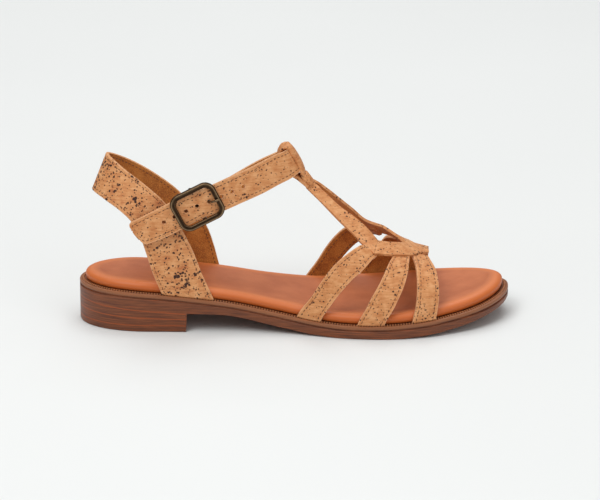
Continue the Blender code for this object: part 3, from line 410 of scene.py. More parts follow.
class Recipe:
    """A material in the making: its tree, its shader, and coordinates in millimetres."""

    def __init__(self, name: str, roughness: float, metallic: float = 0.0, ior: float = 1.5) -> None:
        """Starts the material.

        Args:
            name: material's name.
            roughness: base roughness of its shader.
            metallic: 1 for a metal.
            ior: refraction index of its surface.
        """
        self.material = bpy.data.materials.new(name)
        self.material.use_nodes = True
        self.tree = self.material.node_tree
        self.shader = self.tree.nodes["Principled BSDF"]
        self.shader.inputs["Roughness"].default_value = roughness
        self.shader.inputs["Metallic"].default_value = metallic
        self.shader.inputs["IOR"].default_value = ior
        metres = self.add("TexCoord").outputs["Object"]
        self.mm = self.add("Mapping", {"Vector": metres, "Scale": (1000, 1000, 1000)}).outputs[0]

    def add(self, kind: str, inputs: Optional[dict] = None, **settings: Setting) -> bpy.types.Node:
        """Adds a node to this material's tree."""
        return add_node(self.tree, kind, inputs, **settings)

    def stretched(self, scale: Point, turn: float) -> Socket:
        """Millimetre coordinates scaled along each axis and turned round the sideways one."""
        return self.add("Mapping", {"Vector": self.mm, "Scale": scale, "Rotation": (0, turn, 0)}).outputs[0]

    def noise(
        self, scale: float, detail: float, roughness: float = 0.5, at: Optional[Socket] = None
    ) -> Socket:
        """Cloudy value with a number of clouds per millimetre."""
        inputs = {"Vector": at or self.mm, "Scale": scale, "Detail": detail, "Roughness": roughness}
        return self.add("TexNoise", inputs).outputs["Fac"]

    def cells(self, spacing: float, at: Optional[Socket] = None, feature: str = "F1") -> Socket:
        """Distance in cells that lie a number of millimetres apart."""
        inputs = {"Vector": at or self.mm, "Scale": 1 / spacing}
        return self.add("TexVoronoi", inputs, feature=feature).outputs["Distance"]

    def math(self, operation: str, *values: Union[Socket, float]) -> Socket:
        """Result of a calculation with sockets and numbers."""
        return self.add("Math", dict(enumerate(values)), operation=operation).outputs[0]

    def remap(self, value: Socket, low: float, high: float, start: float = 0.0, end: float = 1.0) -> Socket:
        """Value from low to high, turned to one from start to end."""
        inputs = {"Value": value, "From Min": low, "From Max": high, "To Min": start, "To Max": end}
        return self.add("MapRange", inputs).outputs[0]

    def mean(self, share: float, first: Socket, second: Socket) -> Socket:
        """Value between two values."""
        return self.add("Mix", {0: share, 2: first, 3: second}, data_type="FLOAT").outputs[0]

    def blend(self, share: Socket, first: Socket, second: Union[Socket, str]) -> Socket:
        """Colour between two colours, of which the second may be a hex code."""
        over = linear(second) if isinstance(second, str) else second
        return self.add("Mix", {0: share, 6: first, 7: over}, data_type="RGBA").outputs[2]

    def stored(self, name: str) -> Socket:
        """Number that is stored on the piece's points."""
        return self.add("Attribute", attribute_name=name).outputs["Fac"]

    def ramp(self, value: Socket, *stops: tuple[float, str]) -> Socket:
        """Turns a value to a colour.

        Args:
            value: value that picks the colour.
            stops: places from 0 to 1 with their hex codes.

        Returns:
            Socket of the colour.
        """
        node = self.add("ValToRGB", {"Fac": value})
        elements = node.color_ramp.elements
        while len(elements) < len(stops):
            elements.new(0.5)
        for element, (at, code) in zip(elements, stops):
            element.position = at
            element.color = linear(code)
        return node.outputs["Color"]

    def finish(self, colour: Socket, height: Socket, depth: float, strength: float) -> Material:
        """Joins colour and relief to the shader.

        Args:
            colour: base colour.
            height: relief from 0 to 1.
            depth: relief's depth in metres.
            strength: share of the relief that shows.

        Returns:
            The finished material.
        """
        self.tree.links.new(colour, self.shader.inputs["Base Color"])
        bump = self.add("Bump", {"Height": height, "Strength": strength, "Distance": depth})
        self.tree.links.new(bump.outputs["Normal"], self.shader.inputs["Normal"])
        return self.material


@dataclass(frozen=True)
class CorkFabric:
    """Cork fabric: thin slices of cork bark glued to cloth, sealed matt.

    It gives the eye a warm mottled tan with fine streaks and dark brown pits, single and in loose clusters.
    """

    name: str = "cork_fabric_sealed_matt"
    shade: str = "#B9703C"
    middle: str = "#D08E58"
    light: str = "#E3A874"
    pit: str = "#3A1A0C"
    # Pale cut cork at the edges, also standing in for a painted highlight along them
    rim: str = "#E2AA7C"
    roughness: float = 0.62
    pit_spacing: float = 2.6
    fleck_spacing: float = 1.8
    cluster_spacing: float = 9.0
    pit_floor: float = 0.12
    pit_ceiling: float = 0.27

    def build(self) -> Material:
        """Makes the material, with spacings in millimetres.

        Returns:
            The material.
        """
        made = Recipe(self.name, self.roughness, ior=1.45)
        warp = made.add("TexNoise", {"Vector": made.mm, "Scale": 0.9, "Detail": 2.0}).outputs["Color"]
        shift = made.add("VectorMath", {0: warp, 1: (0.5, 0.5, 0.5)}, operation="SUBTRACT").outputs[0]
        moved = made.add("VectorMath", {0: shift, 1: (1.3, 1.3, 1.3), 2: made.mm}, operation="MULTIPLY_ADD")
        cluster = made.noise(1 / self.cluster_spacing, 1.5)
        reach = made.remap(cluster, 0.38, 0.66, self.pit_floor, self.pit_ceiling)
        pits = []
        for spacing, share in ((self.pit_spacing, 1.0), (self.fleck_spacing, 0.9)):
            gap = made.math("SUBTRACT", reach, made.cells(spacing, moved.outputs[0]))
            pits.append(made.remap(gap, 0.0, 0.05, 0.0, share))
        pit = made.math("MAXIMUM", *pits)
        mottle = made.noise(0.20, 6.0, 0.62)
        grain = made.noise(1.0, 3.0, 0.6, made.stretched((0.16, 0.16, 1.25), 0.14))
        tone = made.mean(0.42, mottle, grain)
        body = made.ramp(tone, (0.34, self.shade), (0.50, self.middle), (0.66, self.light))
        # Paler within 0.75 mm of a cut edge: the pale cut cork, and partly a painted highlight along the
        # rounded edge.
        pale_edge_and_highlight = made.blend(made.remap(made.stored("edge_mm"), 0.15, 0.75, 0.75, 0.0), body, self.rim)
        dark = made.math("MAXIMUM", pit, made.stored("seam"))
        colour = made.blend(dark, pale_edge_and_highlight, self.pit)
        return made.finish(colour, made.math("MULTIPLY_ADD", pit, -1.0, tone), 0.25 * MM, 0.7)


@dataclass(frozen=True)
class LiningLeather:
    """Pigskin-like lining leather, dyed golden tan: soft, matt, with fine wrinkles and pores."""

    name: str = "lining_leather_dyed"
    shade: str = "#9A5B25"
    middle: str = "#BC7733"
    light: str = "#CE8C45"
    roughness: float = 0.66
    wrinkle_mm: float = 1.1

    def build(self) -> Material:
        """Makes the material.

        Returns:
            The material.
        """
        made = Recipe(self.name, self.roughness, ior=1.45)
        crease = made.remap(made.cells(self.wrinkle_mm, feature="DISTANCE_TO_EDGE"), 0.0, 0.25)
        # The wrinkles also darken the colour a little: painted shade in the creases.
        tone = made.mean(0.22, made.noise(0.11, 4.0, 0.6), crease)
        colour = made.ramp(tone, (0.35, self.shade), (0.52, self.middle), (0.75, self.light))
        return made.finish(colour, crease, 0.10 * MM, 0.5)


@dataclass(frozen=True)
class FootbedLeather:
    """Synthetic leather over foam, matt on top and softly glossy where it rolls over the edge."""

    name: str = "footbed_leather_padded"
    top: str = "#B26136"
    top_light: str = "#C16F42"
    # Painted highlight colour for the roll's shoulder; the roll colour below it is darker as painted shade
    # towards the bottom
    shoulder_highlight: str = "#D47940"
    roll: str = "#C8662C"
    roughness: float = 0.56
    roll_roughness: float = 0.40
    grain_mm: float = 0.9

    def build(self) -> Material:
        """Makes the material; the grain is drawn coarser than the real 0.3 mm so that it shows.

        Returns:
            The material.
        """
        made = Recipe(self.name, self.roughness, ior=1.45)
        body = made.ramp(made.noise(0.07, 5.0, 0.55), (0.35, self.top), (0.68, self.top_light))
        roll = made.stored("roll")
        # On the roll: a painted highlight at the shoulder, fading to a darker orange towards the bottom as
        # painted shade.
        roll_highlight_and_shade = made.ramp(roll, (0.45, self.shoulder_highlight), (0.95, self.roll))
        colour = made.blend(made.remap(roll, 0.0, 0.5), body, roll_highlight_and_shade)
        gloss = made.remap(roll, 0.0, 1.0, self.roughness, self.roll_roughness)
        made.tree.links.new(gloss, made.shader.inputs["Roughness"])
        return made.finish(colour, made.cells(self.grain_mm), 0.06 * MM, 0.4)


@dataclass(frozen=True)
class MouldedSole:
    """Thermoplastic rubber sole, moulded like stacked leather: satin brown with fine orange grain."""

    name: str = "sole_rubber_moulded"
    shade: str = "#56270F"
    middle: str = "#6F3918"
    light: str = "#834622"
    line: str = "#9E4A19"
    welt: str = "#A0663F"
    roughness: float = 0.48
    grain_mm: float = 0.55
    # Joint lines of the heel's lifts in mm: height at the origin and slope along, and where they end
    lifts: tuple[tuple[float, float], ...] = ((13.2, -0.069), (8.65, -0.030), (4.0, 0.0))
    lifts_end: float = 31.0

    def build(self) -> Material:
        """Makes the material; the grain is drawn coarser than the real 0.2 mm so that it shows.

        Returns:
            The material.
        """
        made = Recipe(self.name, self.roughness)
        grain = made.noise(1 / self.grain_mm, 4.0, 0.6, made.stretched((0.035, 0.035, 1.0), 0.16))
        stops = ((0.34, self.shade), (0.48, self.middle), (0.60, self.light), (0.72, self.line))
        body = made.ramp(grain, *stops)
        along, _, up = made.add("SeparateXYZ", {0: made.mm}).outputs
        mark = 0.0
        for height, slope in self.lifts:
            off = made.math("SUBTRACT", up, made.math("MULTIPLY_ADD", along, slope, height))
            mark = made.math("MAXIMUM", mark, made.remap(made.math("ABSOLUTE", off), 0.18, 0.42, 1.0, 0.0))
        joint = made.math("MULTIPLY", mark, made.math("LESS_THAN", along, self.lifts_end))
        lined = made.blend(joint, body, self.line)
        colour = made.blend(made.stored("welt"), lined, self.welt)
        return made.finish(colour, made.math("MULTIPLY_ADD", joint, -1.5, grain), 0.12 * MM, 0.6)


@dataclass(frozen=True)
class AntiqueBrass:
    """Zinc casting plated in antique brass: dark in the hollows and, as painted shade, on the bars' inner
    slope; lighter where the plating is worn and as a painted highlight on the raised ridge.
    """

    name: str = "antique_brass_plated"
    # Dark colour: patina in the hollows, and painted shade on the inner slope and back of the bars
    hollow_and_shade: str = "#2E2118"
    body: str = "#5E4934"
    wear_and_highlight: str = "#A28A6C"
    roughness: float = 0.36

    def build(self) -> Material:
        """Makes the material.

        Returns:
            The material.
        """
        made = Recipe(self.name, self.roughness, metallic=1.0)
        cloud = made.noise(0.5, 5.0, 0.6)
        # Tone follows the stored mask: partly real wear, partly a painted highlight on the bars' ridges;
        # where the mask is low, the dark colour is partly patina and partly painted shade.
        tone = made.mean(0.72, cloud, made.stored("wear_and_highlight"))
        colour = made.ramp(tone, (0.12, self.hollow_and_shade), (0.45, self.body), (0.85, self.wear_and_highlight))
        return made.finish(colour, cloud, 0.05 * MM, 0.3)


@dataclass(frozen=True)
class SewingThread:
    """Bonded polyester thread: dark tan, twisted, slightly shiny."""

    name: str = "sewing_thread_polyester"
    shade: str = "#5A3219"
    colour: str = "#7A4A2A"
    roughness: float = 0.5

    def build(self) -> Material:
        """Makes the material.

        Returns:
            The material.
        """
        made = Recipe(self.name, self.roughness)
        twist = made.add("TexWave", {"Vector": made.mm, "Scale": 1.2, "Distortion": 1.0}).outputs["Fac"]
        return made.finish(made.ramp(twist, (0.2, self.shade), (0.8, self.colour)), twist, 0.05 * MM, 0.5)


@dataclass(frozen=True)
class MottledFinish:
    """Plain finish in two tones of a fine noise."""

    name: str
    dark: tuple[float, str]
    light: tuple[float, str]
    roughness: float
    scale: float
    detail: float
    depth: float = 0.10 * MM
    strength: float = 0.5
    ior: float = 1.45

    def build(self) -> Material:
        """Makes the material.

        Returns:
            The material.
        """
        made = Recipe(self.name, self.roughness, ior=self.ior)
        cloud = made.noise(self.scale, self.detail)
        return made.finish(made.ramp(cloud, self.dark, self.light), cloud, self.depth, self.strength)


# Raw cut edge of a strap: pale cork granules with thin darker layers
RAW_EDGE = MottledFinish("strap_edge_raw_cut", (0.38, "#B67845"), (0.55, "#E0A878"), 0.75, 1.6, 3.0)
# Split leather of the buckle's holder: brown, with a short nap
SPLIT_LEATHER = MottledFinish(
    "holder_leather_split", (0.35, "#8A5230"), (0.65, "#A96B40"), 0.8, 2.5, 4.0, depth=0.08 * MM
)
# Matt painted studio floor: pale and nearly even
PALE_FLOOR = MottledFinish(
    "studio_floor_matt_paint", (0.3, "#E3E5E4"), (0.7, "#E6E8E7"), 0.9, 0.002, 2.0, 0.01 * MM, 0.1, 1.5
)


def select_only(piece: Optional[Object]) -> None:
    """Leaves object mode on and only this piece selected, or nothing.

    Args:
        piece: piece to select, or None.
    """
    if bpy.context.object and bpy.context.object.mode != "OBJECT":
        bpy.ops.object.mode_set(mode="OBJECT")
    bpy.ops.object.select_all(action="DESELECT")
    if piece:
        piece.select_set(True)
        bpy.context.view_layer.objects.active = piece


def apply_modifiers(piece: Object) -> None:
    """Applies a piece's modifiers in their order.

    Args:
        piece: piece that has them.
    """
    select_only(piece)
    for modifier in list(piece.modifiers):
        bpy.ops.object.modifier_apply(modifier=modifier.name)


def smooth(piece: Object, degrees: float = 38.0) -> Object:
    """Shades a piece smooth, but for its sharp edges.

    Args:
        piece: piece to shade.
        degrees: angle from which an edge stays sharp.

    Returns:
        The piece.
    """
    select_only(piece)
    bpy.ops.object.shade_smooth_by_angle(angle=math.radians(degrees))
    return piece


def round_edges(piece: Object, width: float, segments: int, degrees: float) -> None:
    """Adds a bevel on the sharp edges.

    Args:
        piece: piece that gets it.
        width: width of the bevel.
        segments: number of its steps.
        degrees: angle from which an edge is rounded.
    """
    bevel = piece.modifiers.new("edges", "BEVEL")
    bevel.width = width
    bevel.segments = segments
    bevel.limit_method = "ANGLE"
    bevel.angle_limit = math.radians(degrees)


def edit_all(piece: Object) -> None:
    """Opens a piece in edit mode with all of it selected.

    Args:
        piece: piece to open.
    """
    select_only(piece)
    bpy.ops.object.mode_set(mode="EDIT")
    bpy.ops.mesh.select_all(action="SELECT")


def close_edit(piece: Object, merge: float = 0.0) -> None:
    """Merges near points, turns the faces outward and leaves edit mode.

    Args:
        piece: piece that is open in edit mode.
        merge: distance under which points are merged, or 0 for none.
    """
    bpy.ops.mesh.select_all(action="SELECT")
    if merge:
        bpy.ops.mesh.remove_doubles(threshold=merge)
    bpy.ops.mesh.normals_make_consistent(inside=False)
    bpy.ops.object.mode_set(mode="OBJECT")


def dress(piece: Object, slot: str, *materials: Material) -> Object:
    """Gives a piece its materials and hangs it under the root.

    Args:
        piece: piece to dress.
        slot: not used.
        materials: its materials in order.

    Returns:
        The piece.
    """
    for index, material in enumerate(materials):
        if index < len(piece.data.materials):
            piece.data.materials[index] = material
        else:
            piece.data.materials.append(material)
    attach(piece, "root")
    log.info("%s: %d faces", piece.name, len(piece.data.polygons))
    return piece


def set_attribute(piece: Object, name: str, values: Sequence[float]) -> None:
    """Stores a number on each point of a piece."""
    attribute = piece.data.attributes.get(name) or piece.data.attributes.new(name, "FLOAT", "POINT")
    attribute.data.foreach_set("value", list(values))


def add_sheet(name: str, points: Sequence[Sequence[Vector]]) -> Object:
    """Grid primitive laid on rows of points.

    Args:
        name: piece's name.
        points: rows along the sheet, each with its points across, measured from the heel's back.

    Returns:
        The sheet.
    """
    columns = len(points[0])
    select_only(None)
    bpy.ops.mesh.primitive_grid_add(x_subdivisions=columns - 1, y_subdivisions=len(points) - 1, size=0.1)
    sheet = bpy.context.object
    sheet.name = sheet.data.name = name
    for vert in sheet.data.vertices:
        vert.co = place(*points[vert.index // columns][vert.index % columns])
    return sheet


Level = Callable[[int], tuple[Vector, float]]


def level_of(rows: Sequence[Sequence[Point]], value: float) -> Level:
    """Makes a level of an extrusion.

    Args:
        rows: rows of points.
        value: value at all of them.

    Returns:
        Function from a point's number to its place and value.
    """
    width = len(rows[0])

    def at(number: int) -> tuple[Vector, float]:
        """Place and value of a numbered point."""
        row, column = divmod(number, width)
        return place(*rows[row][column]), value

    return at


def pull_levels(piece: Object, levels: Sequence[Level], attribute: str, start: float) -> None:
    """Extrudes a whole sheet from level to level, so that it becomes a closed solid.

    Args:
        piece: sheet to extrude.
        levels: for each level, gives a point's place and its attribute's value by its number in the sheet.
        attribute: name of the number stored on the points.
        start: its value on the sheet that the solid starts from.
    """
    edit_all(piece)
    mesh = bmesh.from_edit_mesh(piece.data)
    number = mesh.verts.layers.int.new("number")
    value = mesh.verts.layers.float.new(attribute)
    mesh.verts.ensure_lookup_table()
    for index, vert in enumerate(mesh.verts):
        vert[number] = index
        vert[value] = start
    bmesh.update_edit_mesh(piece.data)
    for level in levels:
        bpy.ops.mesh.extrude_region_move()
        mesh = bmesh.from_edit_mesh(piece.data)
        number = mesh.verts.layers.int["number"]
        value = mesh.verts.layers.float[attribute]
        for vert in mesh.verts:
            if vert.select:
                vert.co, vert[value] = level(vert[number])
        bmesh.update_edit_mesh(piece.data)
    close_edit(piece, 0.02 * MM)
    piece.data.attributes.remove(piece.data.attributes["number"])


def spaced(points: Sequence[Vector], pitch: float) -> Iterator[tuple[int, Vector, Vector]]:
    """Places at even distances along a line.

    Args:
        points: points that the line runs through.
        pitch: distance between the places.

    Yields:
        The number of the stretch that a place lies on, the place, and the stretch's direction.
    """
    walked, due = 0.0, pitch / 2
    for number, (start, end) in enumerate(zip(points, points[1:])):
        reach = (end - start).length
        while reach > 0 and walked + reach >= due:
            yield number, start.lerp(end, (due - walked) / reach), (end - start).normalized()
            due += pitch
        walked += reach


@dataclass
class Band:
    """A strap cut from sheet: a surface over the foot, with thickness, edges, creases and seams."""

    name: str
    surface: Callable[[float, float], Vector]
    length: float
    outward: Vector
    thickness: float = STRAP_THICKNESS
    offset: float = 0.0
    rounding: float = 0.35 * MM
    steps: int = 60
    tip: float = 0.0
    creases: tuple[float, ...] = ()
    folded: bool = False
    seam_inset: float = 2.1 * MM

    def width(self, u: float) -> float:
        """Width of the strap at a place along it."""
        return (self.surface(u, 1.0) - self.surface(u, 0.0)).length

    def normal(self, u: float, v: float) -> Vector:
        """Finds the direction out of the strap's outer face.

        Args:
            u: place along.
            v: share across.

        Returns:
            The direction.
        """
        step = 0.4 * MM
        along = self.surface(min(u + step, self.length), v) - self.surface(max(u - step, 0.0), v)
        across = self.surface(u, min(v + 0.05, 1.0)) - self.surface(u, max(v - 0.05, 0.0))
        return along.cross(across).normalized() * self.sign()

    def sign(self) -> float:
        """Finds the sign that makes the normal point outward.

        Returns:
            The sign, 1 or -1.
        """
        along = self.surface(0.4 * MM, 0.5) - self.surface(0.0, 0.5)
        across = self.surface(0.0, 1.0) - self.surface(0.0, 0.0)
        return 1.0 if along.cross(across).dot(self.outward) > 0 else -1.0

    def stations(self) -> list[float]:
        """Spaces the rows along the strap, closer at its tip and creases.

        Returns:
            The places.
        """
        places = {self.length * i / self.steps for i in range(self.steps + 1)}
        for crease in self.creases:
            places = {at for at in places if abs(at - crease) > 1.0 * MM}
            places |= {crease + shift * MM for shift in (-0.8, -0.35, 0.0, 0.35, 0.8)}
        if self.tip:
            places = {at for at in places if at > self.tip} | {0.0}
            places |= {self.tip * (1 - math.cos(math.pi / 2 * i / 8)) for i in range(9)}
        return sorted(places)

    def shares(self, width: float) -> list[float]:
        """Spaces the columns across the strap, closer at its edges.

        Args:
            width: strap's width there.

        Returns:
            Their shares across.
        """
        apart = (0.0, 0.8, 1.8, 2.9) if self.folded else (0.0, 0.6, 1.4, 2.1, 2.8, 3.8)
        fit = min(1.0, 0.45 * width / (apart[-1] * MM))
        near = [gap * MM * fit / width for gap in apart]
        return near + [0.5] + [1 - share for share in reversed(near)]

    def corner_inset(self, u: float) -> float:
        """Measures how far the rounded corners at the tip move the edge inward.

        Args:
            u: place along.

        Returns:
            The distance.
        """
        if u >= self.tip:
            return 0.0
        return self.tip - math.sqrt(self.tip**2 - (self.tip - u) ** 2)

    def relief(self, u: float, from_edge: float) -> float:
        """Measures how far the surface dips at a seam or a crease.

        Args:
            u: place along.
            from_edge: distance from the nearer edge.

        Returns:
            The depth.
        """
        dip = sum(0.25 * MM * math.exp(-(((u - crease) / (0.25 * MM)) ** 2)) for crease in self.creases)
        if not self.folded:
            dip += 0.14 * MM * math.exp(-(((from_edge - self.seam_inset) / (0.5 * MM)) ** 2))
        return dip

    def build(self) -> Object:
        """Models the strap as a sheet with thickness and rounded edges.

        Returns:
            The strap.
        """
        points, edges, seams = [], [], []
        for u in self.stations():
            width = self.width(u)
            inset = self.corner_inset(u) / width
            row = []
            for share in self.shares(width):
                v = inset + (1 - 2 * inset) * share
                from_edge = min(share, 1 - share) * width * (1 - 2 * inset)
                row.append(self.surface(u, v) - self.normal(u, v) * self.relief(u, from_edge))
                edges.append(NO_EDGE if self.folded else from_edge / MM)
                seams.append(0.85 if any(abs(u - crease) < 0.1 * MM for crease in self.creases) else 0.0)
            points.append(row)
        piece = add_sheet(self.name, points)
        set_attribute(piece, "edge_mm", edges)
        set_attribute(piece, "seam", seams)
        if piece.data.polygons[0].normal.dot(self.normal(0.0, 0.5)) < 0:
            edit_all(piece)
            bpy.ops.mesh.flip_normals()
            bpy.ops.object.mode_set(mode="OBJECT")
        return self.thicken(piece)

    def thicken(self, piece: Object) -> Object:
        """Gives the sheet its thickness, lining, edge and roundings.

        Args:
            piece: strap's middle sheet.

        Returns:
            The finished strap.
        """
        solid = piece.modifiers.new("thickness", "SOLIDIFY")
        solid.thickness = self.thickness
        solid.offset = self.offset
        solid.material_offset = 1
        solid.material_offset_rim = 0 if self.folded else 2
        round_edges(piece, self.rounding, 3 if self.folded else 2, 55)
        for _ in range(3):
            piece.data.materials.append(None)
        apply_modifiers(piece)
        return smooth(piece, 50)

    def seam_line(self, path: Line, pitch: float, outer: bool) -> list[Stitch]:
        """Stitches along a line on the strap.

        Args:
            path: line as places along the strap and distances from its first edge.
            pitch: distance between stitches.
            outer: whether they show on the outer face.

        Returns:
            Middle, direction and outward direction of each stitch.
        """
        lift = self.thickness / 2 if outer else -self.thickness / 2
        turned = 1.0 if outer else -1.0
        points, normals = [], []
        for u, y in path:
            v = y / self.width(u)
            normal = self.normal(u, v)
            points.append(self.surface(u, v) + normal * (lift - self.relief(u, self.seam_inset)))
            normals.append(normal * turned)
        return [(spot, along, normals[number]) for number, spot, along in spaced(points, pitch)]

    def stitches(self, lines: Sequence[Line]) -> list[Stitch]:
        """Sews along lines, on both faces.

        Args:
            lines: lines as places along and distances from the first edge.

        Returns:
            The stitches.
        """
        found = []
        for line in lines:
            found += self.seam_line(line, STITCH_PITCH, True) + self.seam_line(line, STITCH_PITCH, False)
        return found

    def edge_lines(self, start: float, end: float, round_tip: bool = False) -> list[Line]:
        """Stitch lines along both edges, joined round the tip if asked.

        Args:
            start: place along the strap where they start.
            end: place where they end.
            round_tip: whether they run round the strap's first end.

        Returns:
            One or two lines, as places along and distances from the first edge.
        """
        inset = self.seam_inset
        count = max(2, int((end - start) / (0.8 * MM)))
        places = [start + (end - start) * i / count for i in range(count + 1)]
        low = [(u, inset) for u in places]
        high = [(u, self.width(u) - inset) for u in places]
        if not round_tip:
            return [low, high]
        width, radius = self.width(self.tip), self.tip - inset
        turns = [math.pi / 2 * i / 4 for i in range(5)]
        low = [(u, y) for u, y in low if u > self.tip]
        high = [(u, y) for u, y in high if u > self.tip]
        first = [(self.tip - radius * math.sin(a), self.tip - radius * math.cos(a)) for a in turns]
        between = [(inset, self.tip + (width - 2 * self.tip) * i / 6) for i in range(1, 6)]
        second = [(self.tip - radius * math.cos(a), width - self.tip + radius * math.sin(a)) for a in turns]
        return [list(reversed(low)) + first + between + second + high]


def edge_surface(rows: Sequence[Row]) -> tuple[Callable[[float, float], Vector], float]:
    """Surface between two edges.

    Args:
        rows: six numbers a row, a point on the first edge and one on the second.

    Returns:
        The surface by place along and share across, and its length.
    """
    flow = Flow(rows)

    def at(u: float, v: float) -> Vector:
        """Point on the surface."""
        row = flow.at(u)
        return Vector(row[:3]).lerp(Vector(row[3:6]), v)

    return at, flow.length


@dataclass
class Stitching:
    """Stitches of one strap, as short rounded lengths of thread."""

    name: str
    places: list[Stitch]
    length: float = 1.75 * MM
    width: float = 0.55 * MM
    height: float = 0.42 * MM

    def build(self) -> Object:
        """Models one stitch and copies it to each place.

        Returns:
            All stitches as one piece.
        """
        select_only(None)
        bpy.ops.mesh.primitive_uv_sphere_add(segments=8, ring_count=5, radius=0.5)
        piece = bpy.context.object
        piece.name = piece.data.name = self.name
        one = [vert.co.copy() for vert in piece.data.vertices]
        faces = [list(face.vertices) for face in piece.data.polygons]
        verts, copies = [], []
        for middle, along, outward in self.places:
            across = outward.cross(along).normalized()
            first = len(verts)
            for co in one:
                spot = along * co.z * self.length + across * co.x * self.width
                spot += outward * co.y * self.height
                verts.append(place(*(middle + spot)))
            copies += [[first + index for index in face] for face in faces]
        piece.data.clear_geometry()
        piece.data.from_pydata(verts, [], copies)
        edit_all(piece)
        close_edit(piece)
        return smooth(piece, 80)


class Finishes:
    """All materials of the sandal, made once."""

    def __init__(self) -> None:
        """Makes the materials."""
        self.cork = CorkFabric().build()
        self.heel_cork = CorkFabric(
            name="cork_fabric_dense_pits",
            pit_floor=0.17,
            pit_ceiling=0.38,
            cluster_spacing=8.0,
            shade="#B4683A",
        ).build()
        self.lining = LiningLeather().build()
        self.edge = RAW_EDGE.build()
        self.footbed = FootbedLeather().build()
        self.sole = MouldedSole().build()
        self.brass = AntiqueBrass().build()
        self.thread = SewingThread().build()
        self.holder = SPLIT_LEATHER.build()
        self.floor = PALE_FLOOR.build()


@dataclass
class Outsole:
    """Moulded sole with a low heel, a groove under its welt, and a milled welt top."""

    rungs: int = 150
    columns: int = 8
    chamfer: float = 1.0 * MM
    welt_drop: float = 2.2 * MM
    groove_height: float = 0.9 * MM
    groove_depth: float = 0.8 * MM
    rim_round: float = 0.7 * MM
    channel: tuple[float, float] = (1.3 * MM, 2.7 * MM)
    channel_depth: float = 0.55 * MM
    rib_pitch: float = 1.6 * MM
    rib_inset: float = 2.05 * MM
    rib_length: float = 1.9 * MM
    rib_width: float = 0.95 * MM
    rib_height: float = 1.5 * MM

    def points(
        self, inset: float, height: Callable[[float], float], rise: float = 0.0
    ) -> list[list[Point]]:
        """Rows of points across the sole at one level.

        Args:
            inset: distance inward from the edge.
            height: height by the place along.
            rise: distance above that height.

        Returns:
            The rows from heel to toe.
        """
        rows = []
        for (start, _), (outer, inner) in zip(FOOT.rungs(0.0, self.rungs), FOOT.rungs(inset, self.rungs)):
            z = height(start.x) + rise
            rows.append([(*outer.lerp(inner, j / self.columns), z) for j in range(self.columns + 1)])
        return rows

    def build(self, finishes: Finishes) -> None:
        """Models the sole and its ribs.

        Args:
            finishes: materials.
        """
        under, top = FOOT.underside, FOOT.top
        sole = add_sheet("outsole_moulded", self.points(self.chamfer, under))
        groove, deep = self.welt_drop + self.groove_height, self.groove_depth
        # Inset, surface that the height is measured from, height over it, share of the welt's colour
        steps = (
            (0.3 * self.chamfer, under, 0.3 * self.chamfer, 0.0),
            (0.0, under, self.chamfer, 0.0),
            (0.0, top, -(groove + 0.45 * deep), 0.0),
            (0.35 * deep, top, -(groove + 0.1 * deep), 0.0),
            (deep, top, -(groove - 0.15 * self.groove_height), 0.0),
            (deep, top, -(self.welt_drop + 0.15 * self.groove_height), 0.0),
            (0.35 * deep, top, -(self.welt_drop - 0.05 * deep), 0.35),
            (0.0, top, -(self.welt_drop - 0.45 * deep), 0.6),
            (0.0, top, -self.rim_round, 0.6),
            (0.3 * self.rim_round, top, -0.3 * self.rim_round, 0.6),
            (self.rim_round, top, 0.0, 0.45),
            (self.channel[0] - 0.15 * MM, top, 0.0, 0.3),
            (self.channel[0], top, -self.channel_depth, 0.0),
            (self.channel[1], top, -self.channel_depth, 0.0),
            (self.channel[1] + 0.2 * MM, top, 0.0, 0.0),
            (self.channel[1] + 0.7 * MM, top, 0.0, 0.0),
        )
        levels = [level_of(self.points(inset, height, rise), value) for inset, height, rise, value in steps]
        pull_levels(sole, levels, "welt", 0.0)
        smooth(sole, 42)
        dress(sole, "sole_rubber", finishes.sole)
        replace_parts(sole, "outsole")
        self.build_ribs(finishes)

    def build_ribs(self, finishes: Finishes) -> None:
        """Models the milled ribs on the welt's top, along the crease of the footbed.

        Args:
            finishes: materials.
        """
        pairs = FOOT.rungs(self.rib_inset, 200)
        ring = [pair[0] for pair in pairs] + [pair[1] for pair in reversed(pairs[1:-1])]
        places = []
        for _, spot, along in spaced(ring + ring[:1], self.rib_pitch):
            inward = Vector((-along.y, along.x, 0.0))
            places.append((Vector((spot.x, spot.y, FOOT.top(spot.x))), inward, Vector((0.0, 0.0, 1.0))))
        ribs = Stitching("welt_ribs", places, self.rib_length, self.rib_width, self.rib_height).build()
        set_attribute(ribs, "welt", [1.0] * len(ribs.data.vertices))
        dress(ribs, "sole_rubber", finishes.sole)


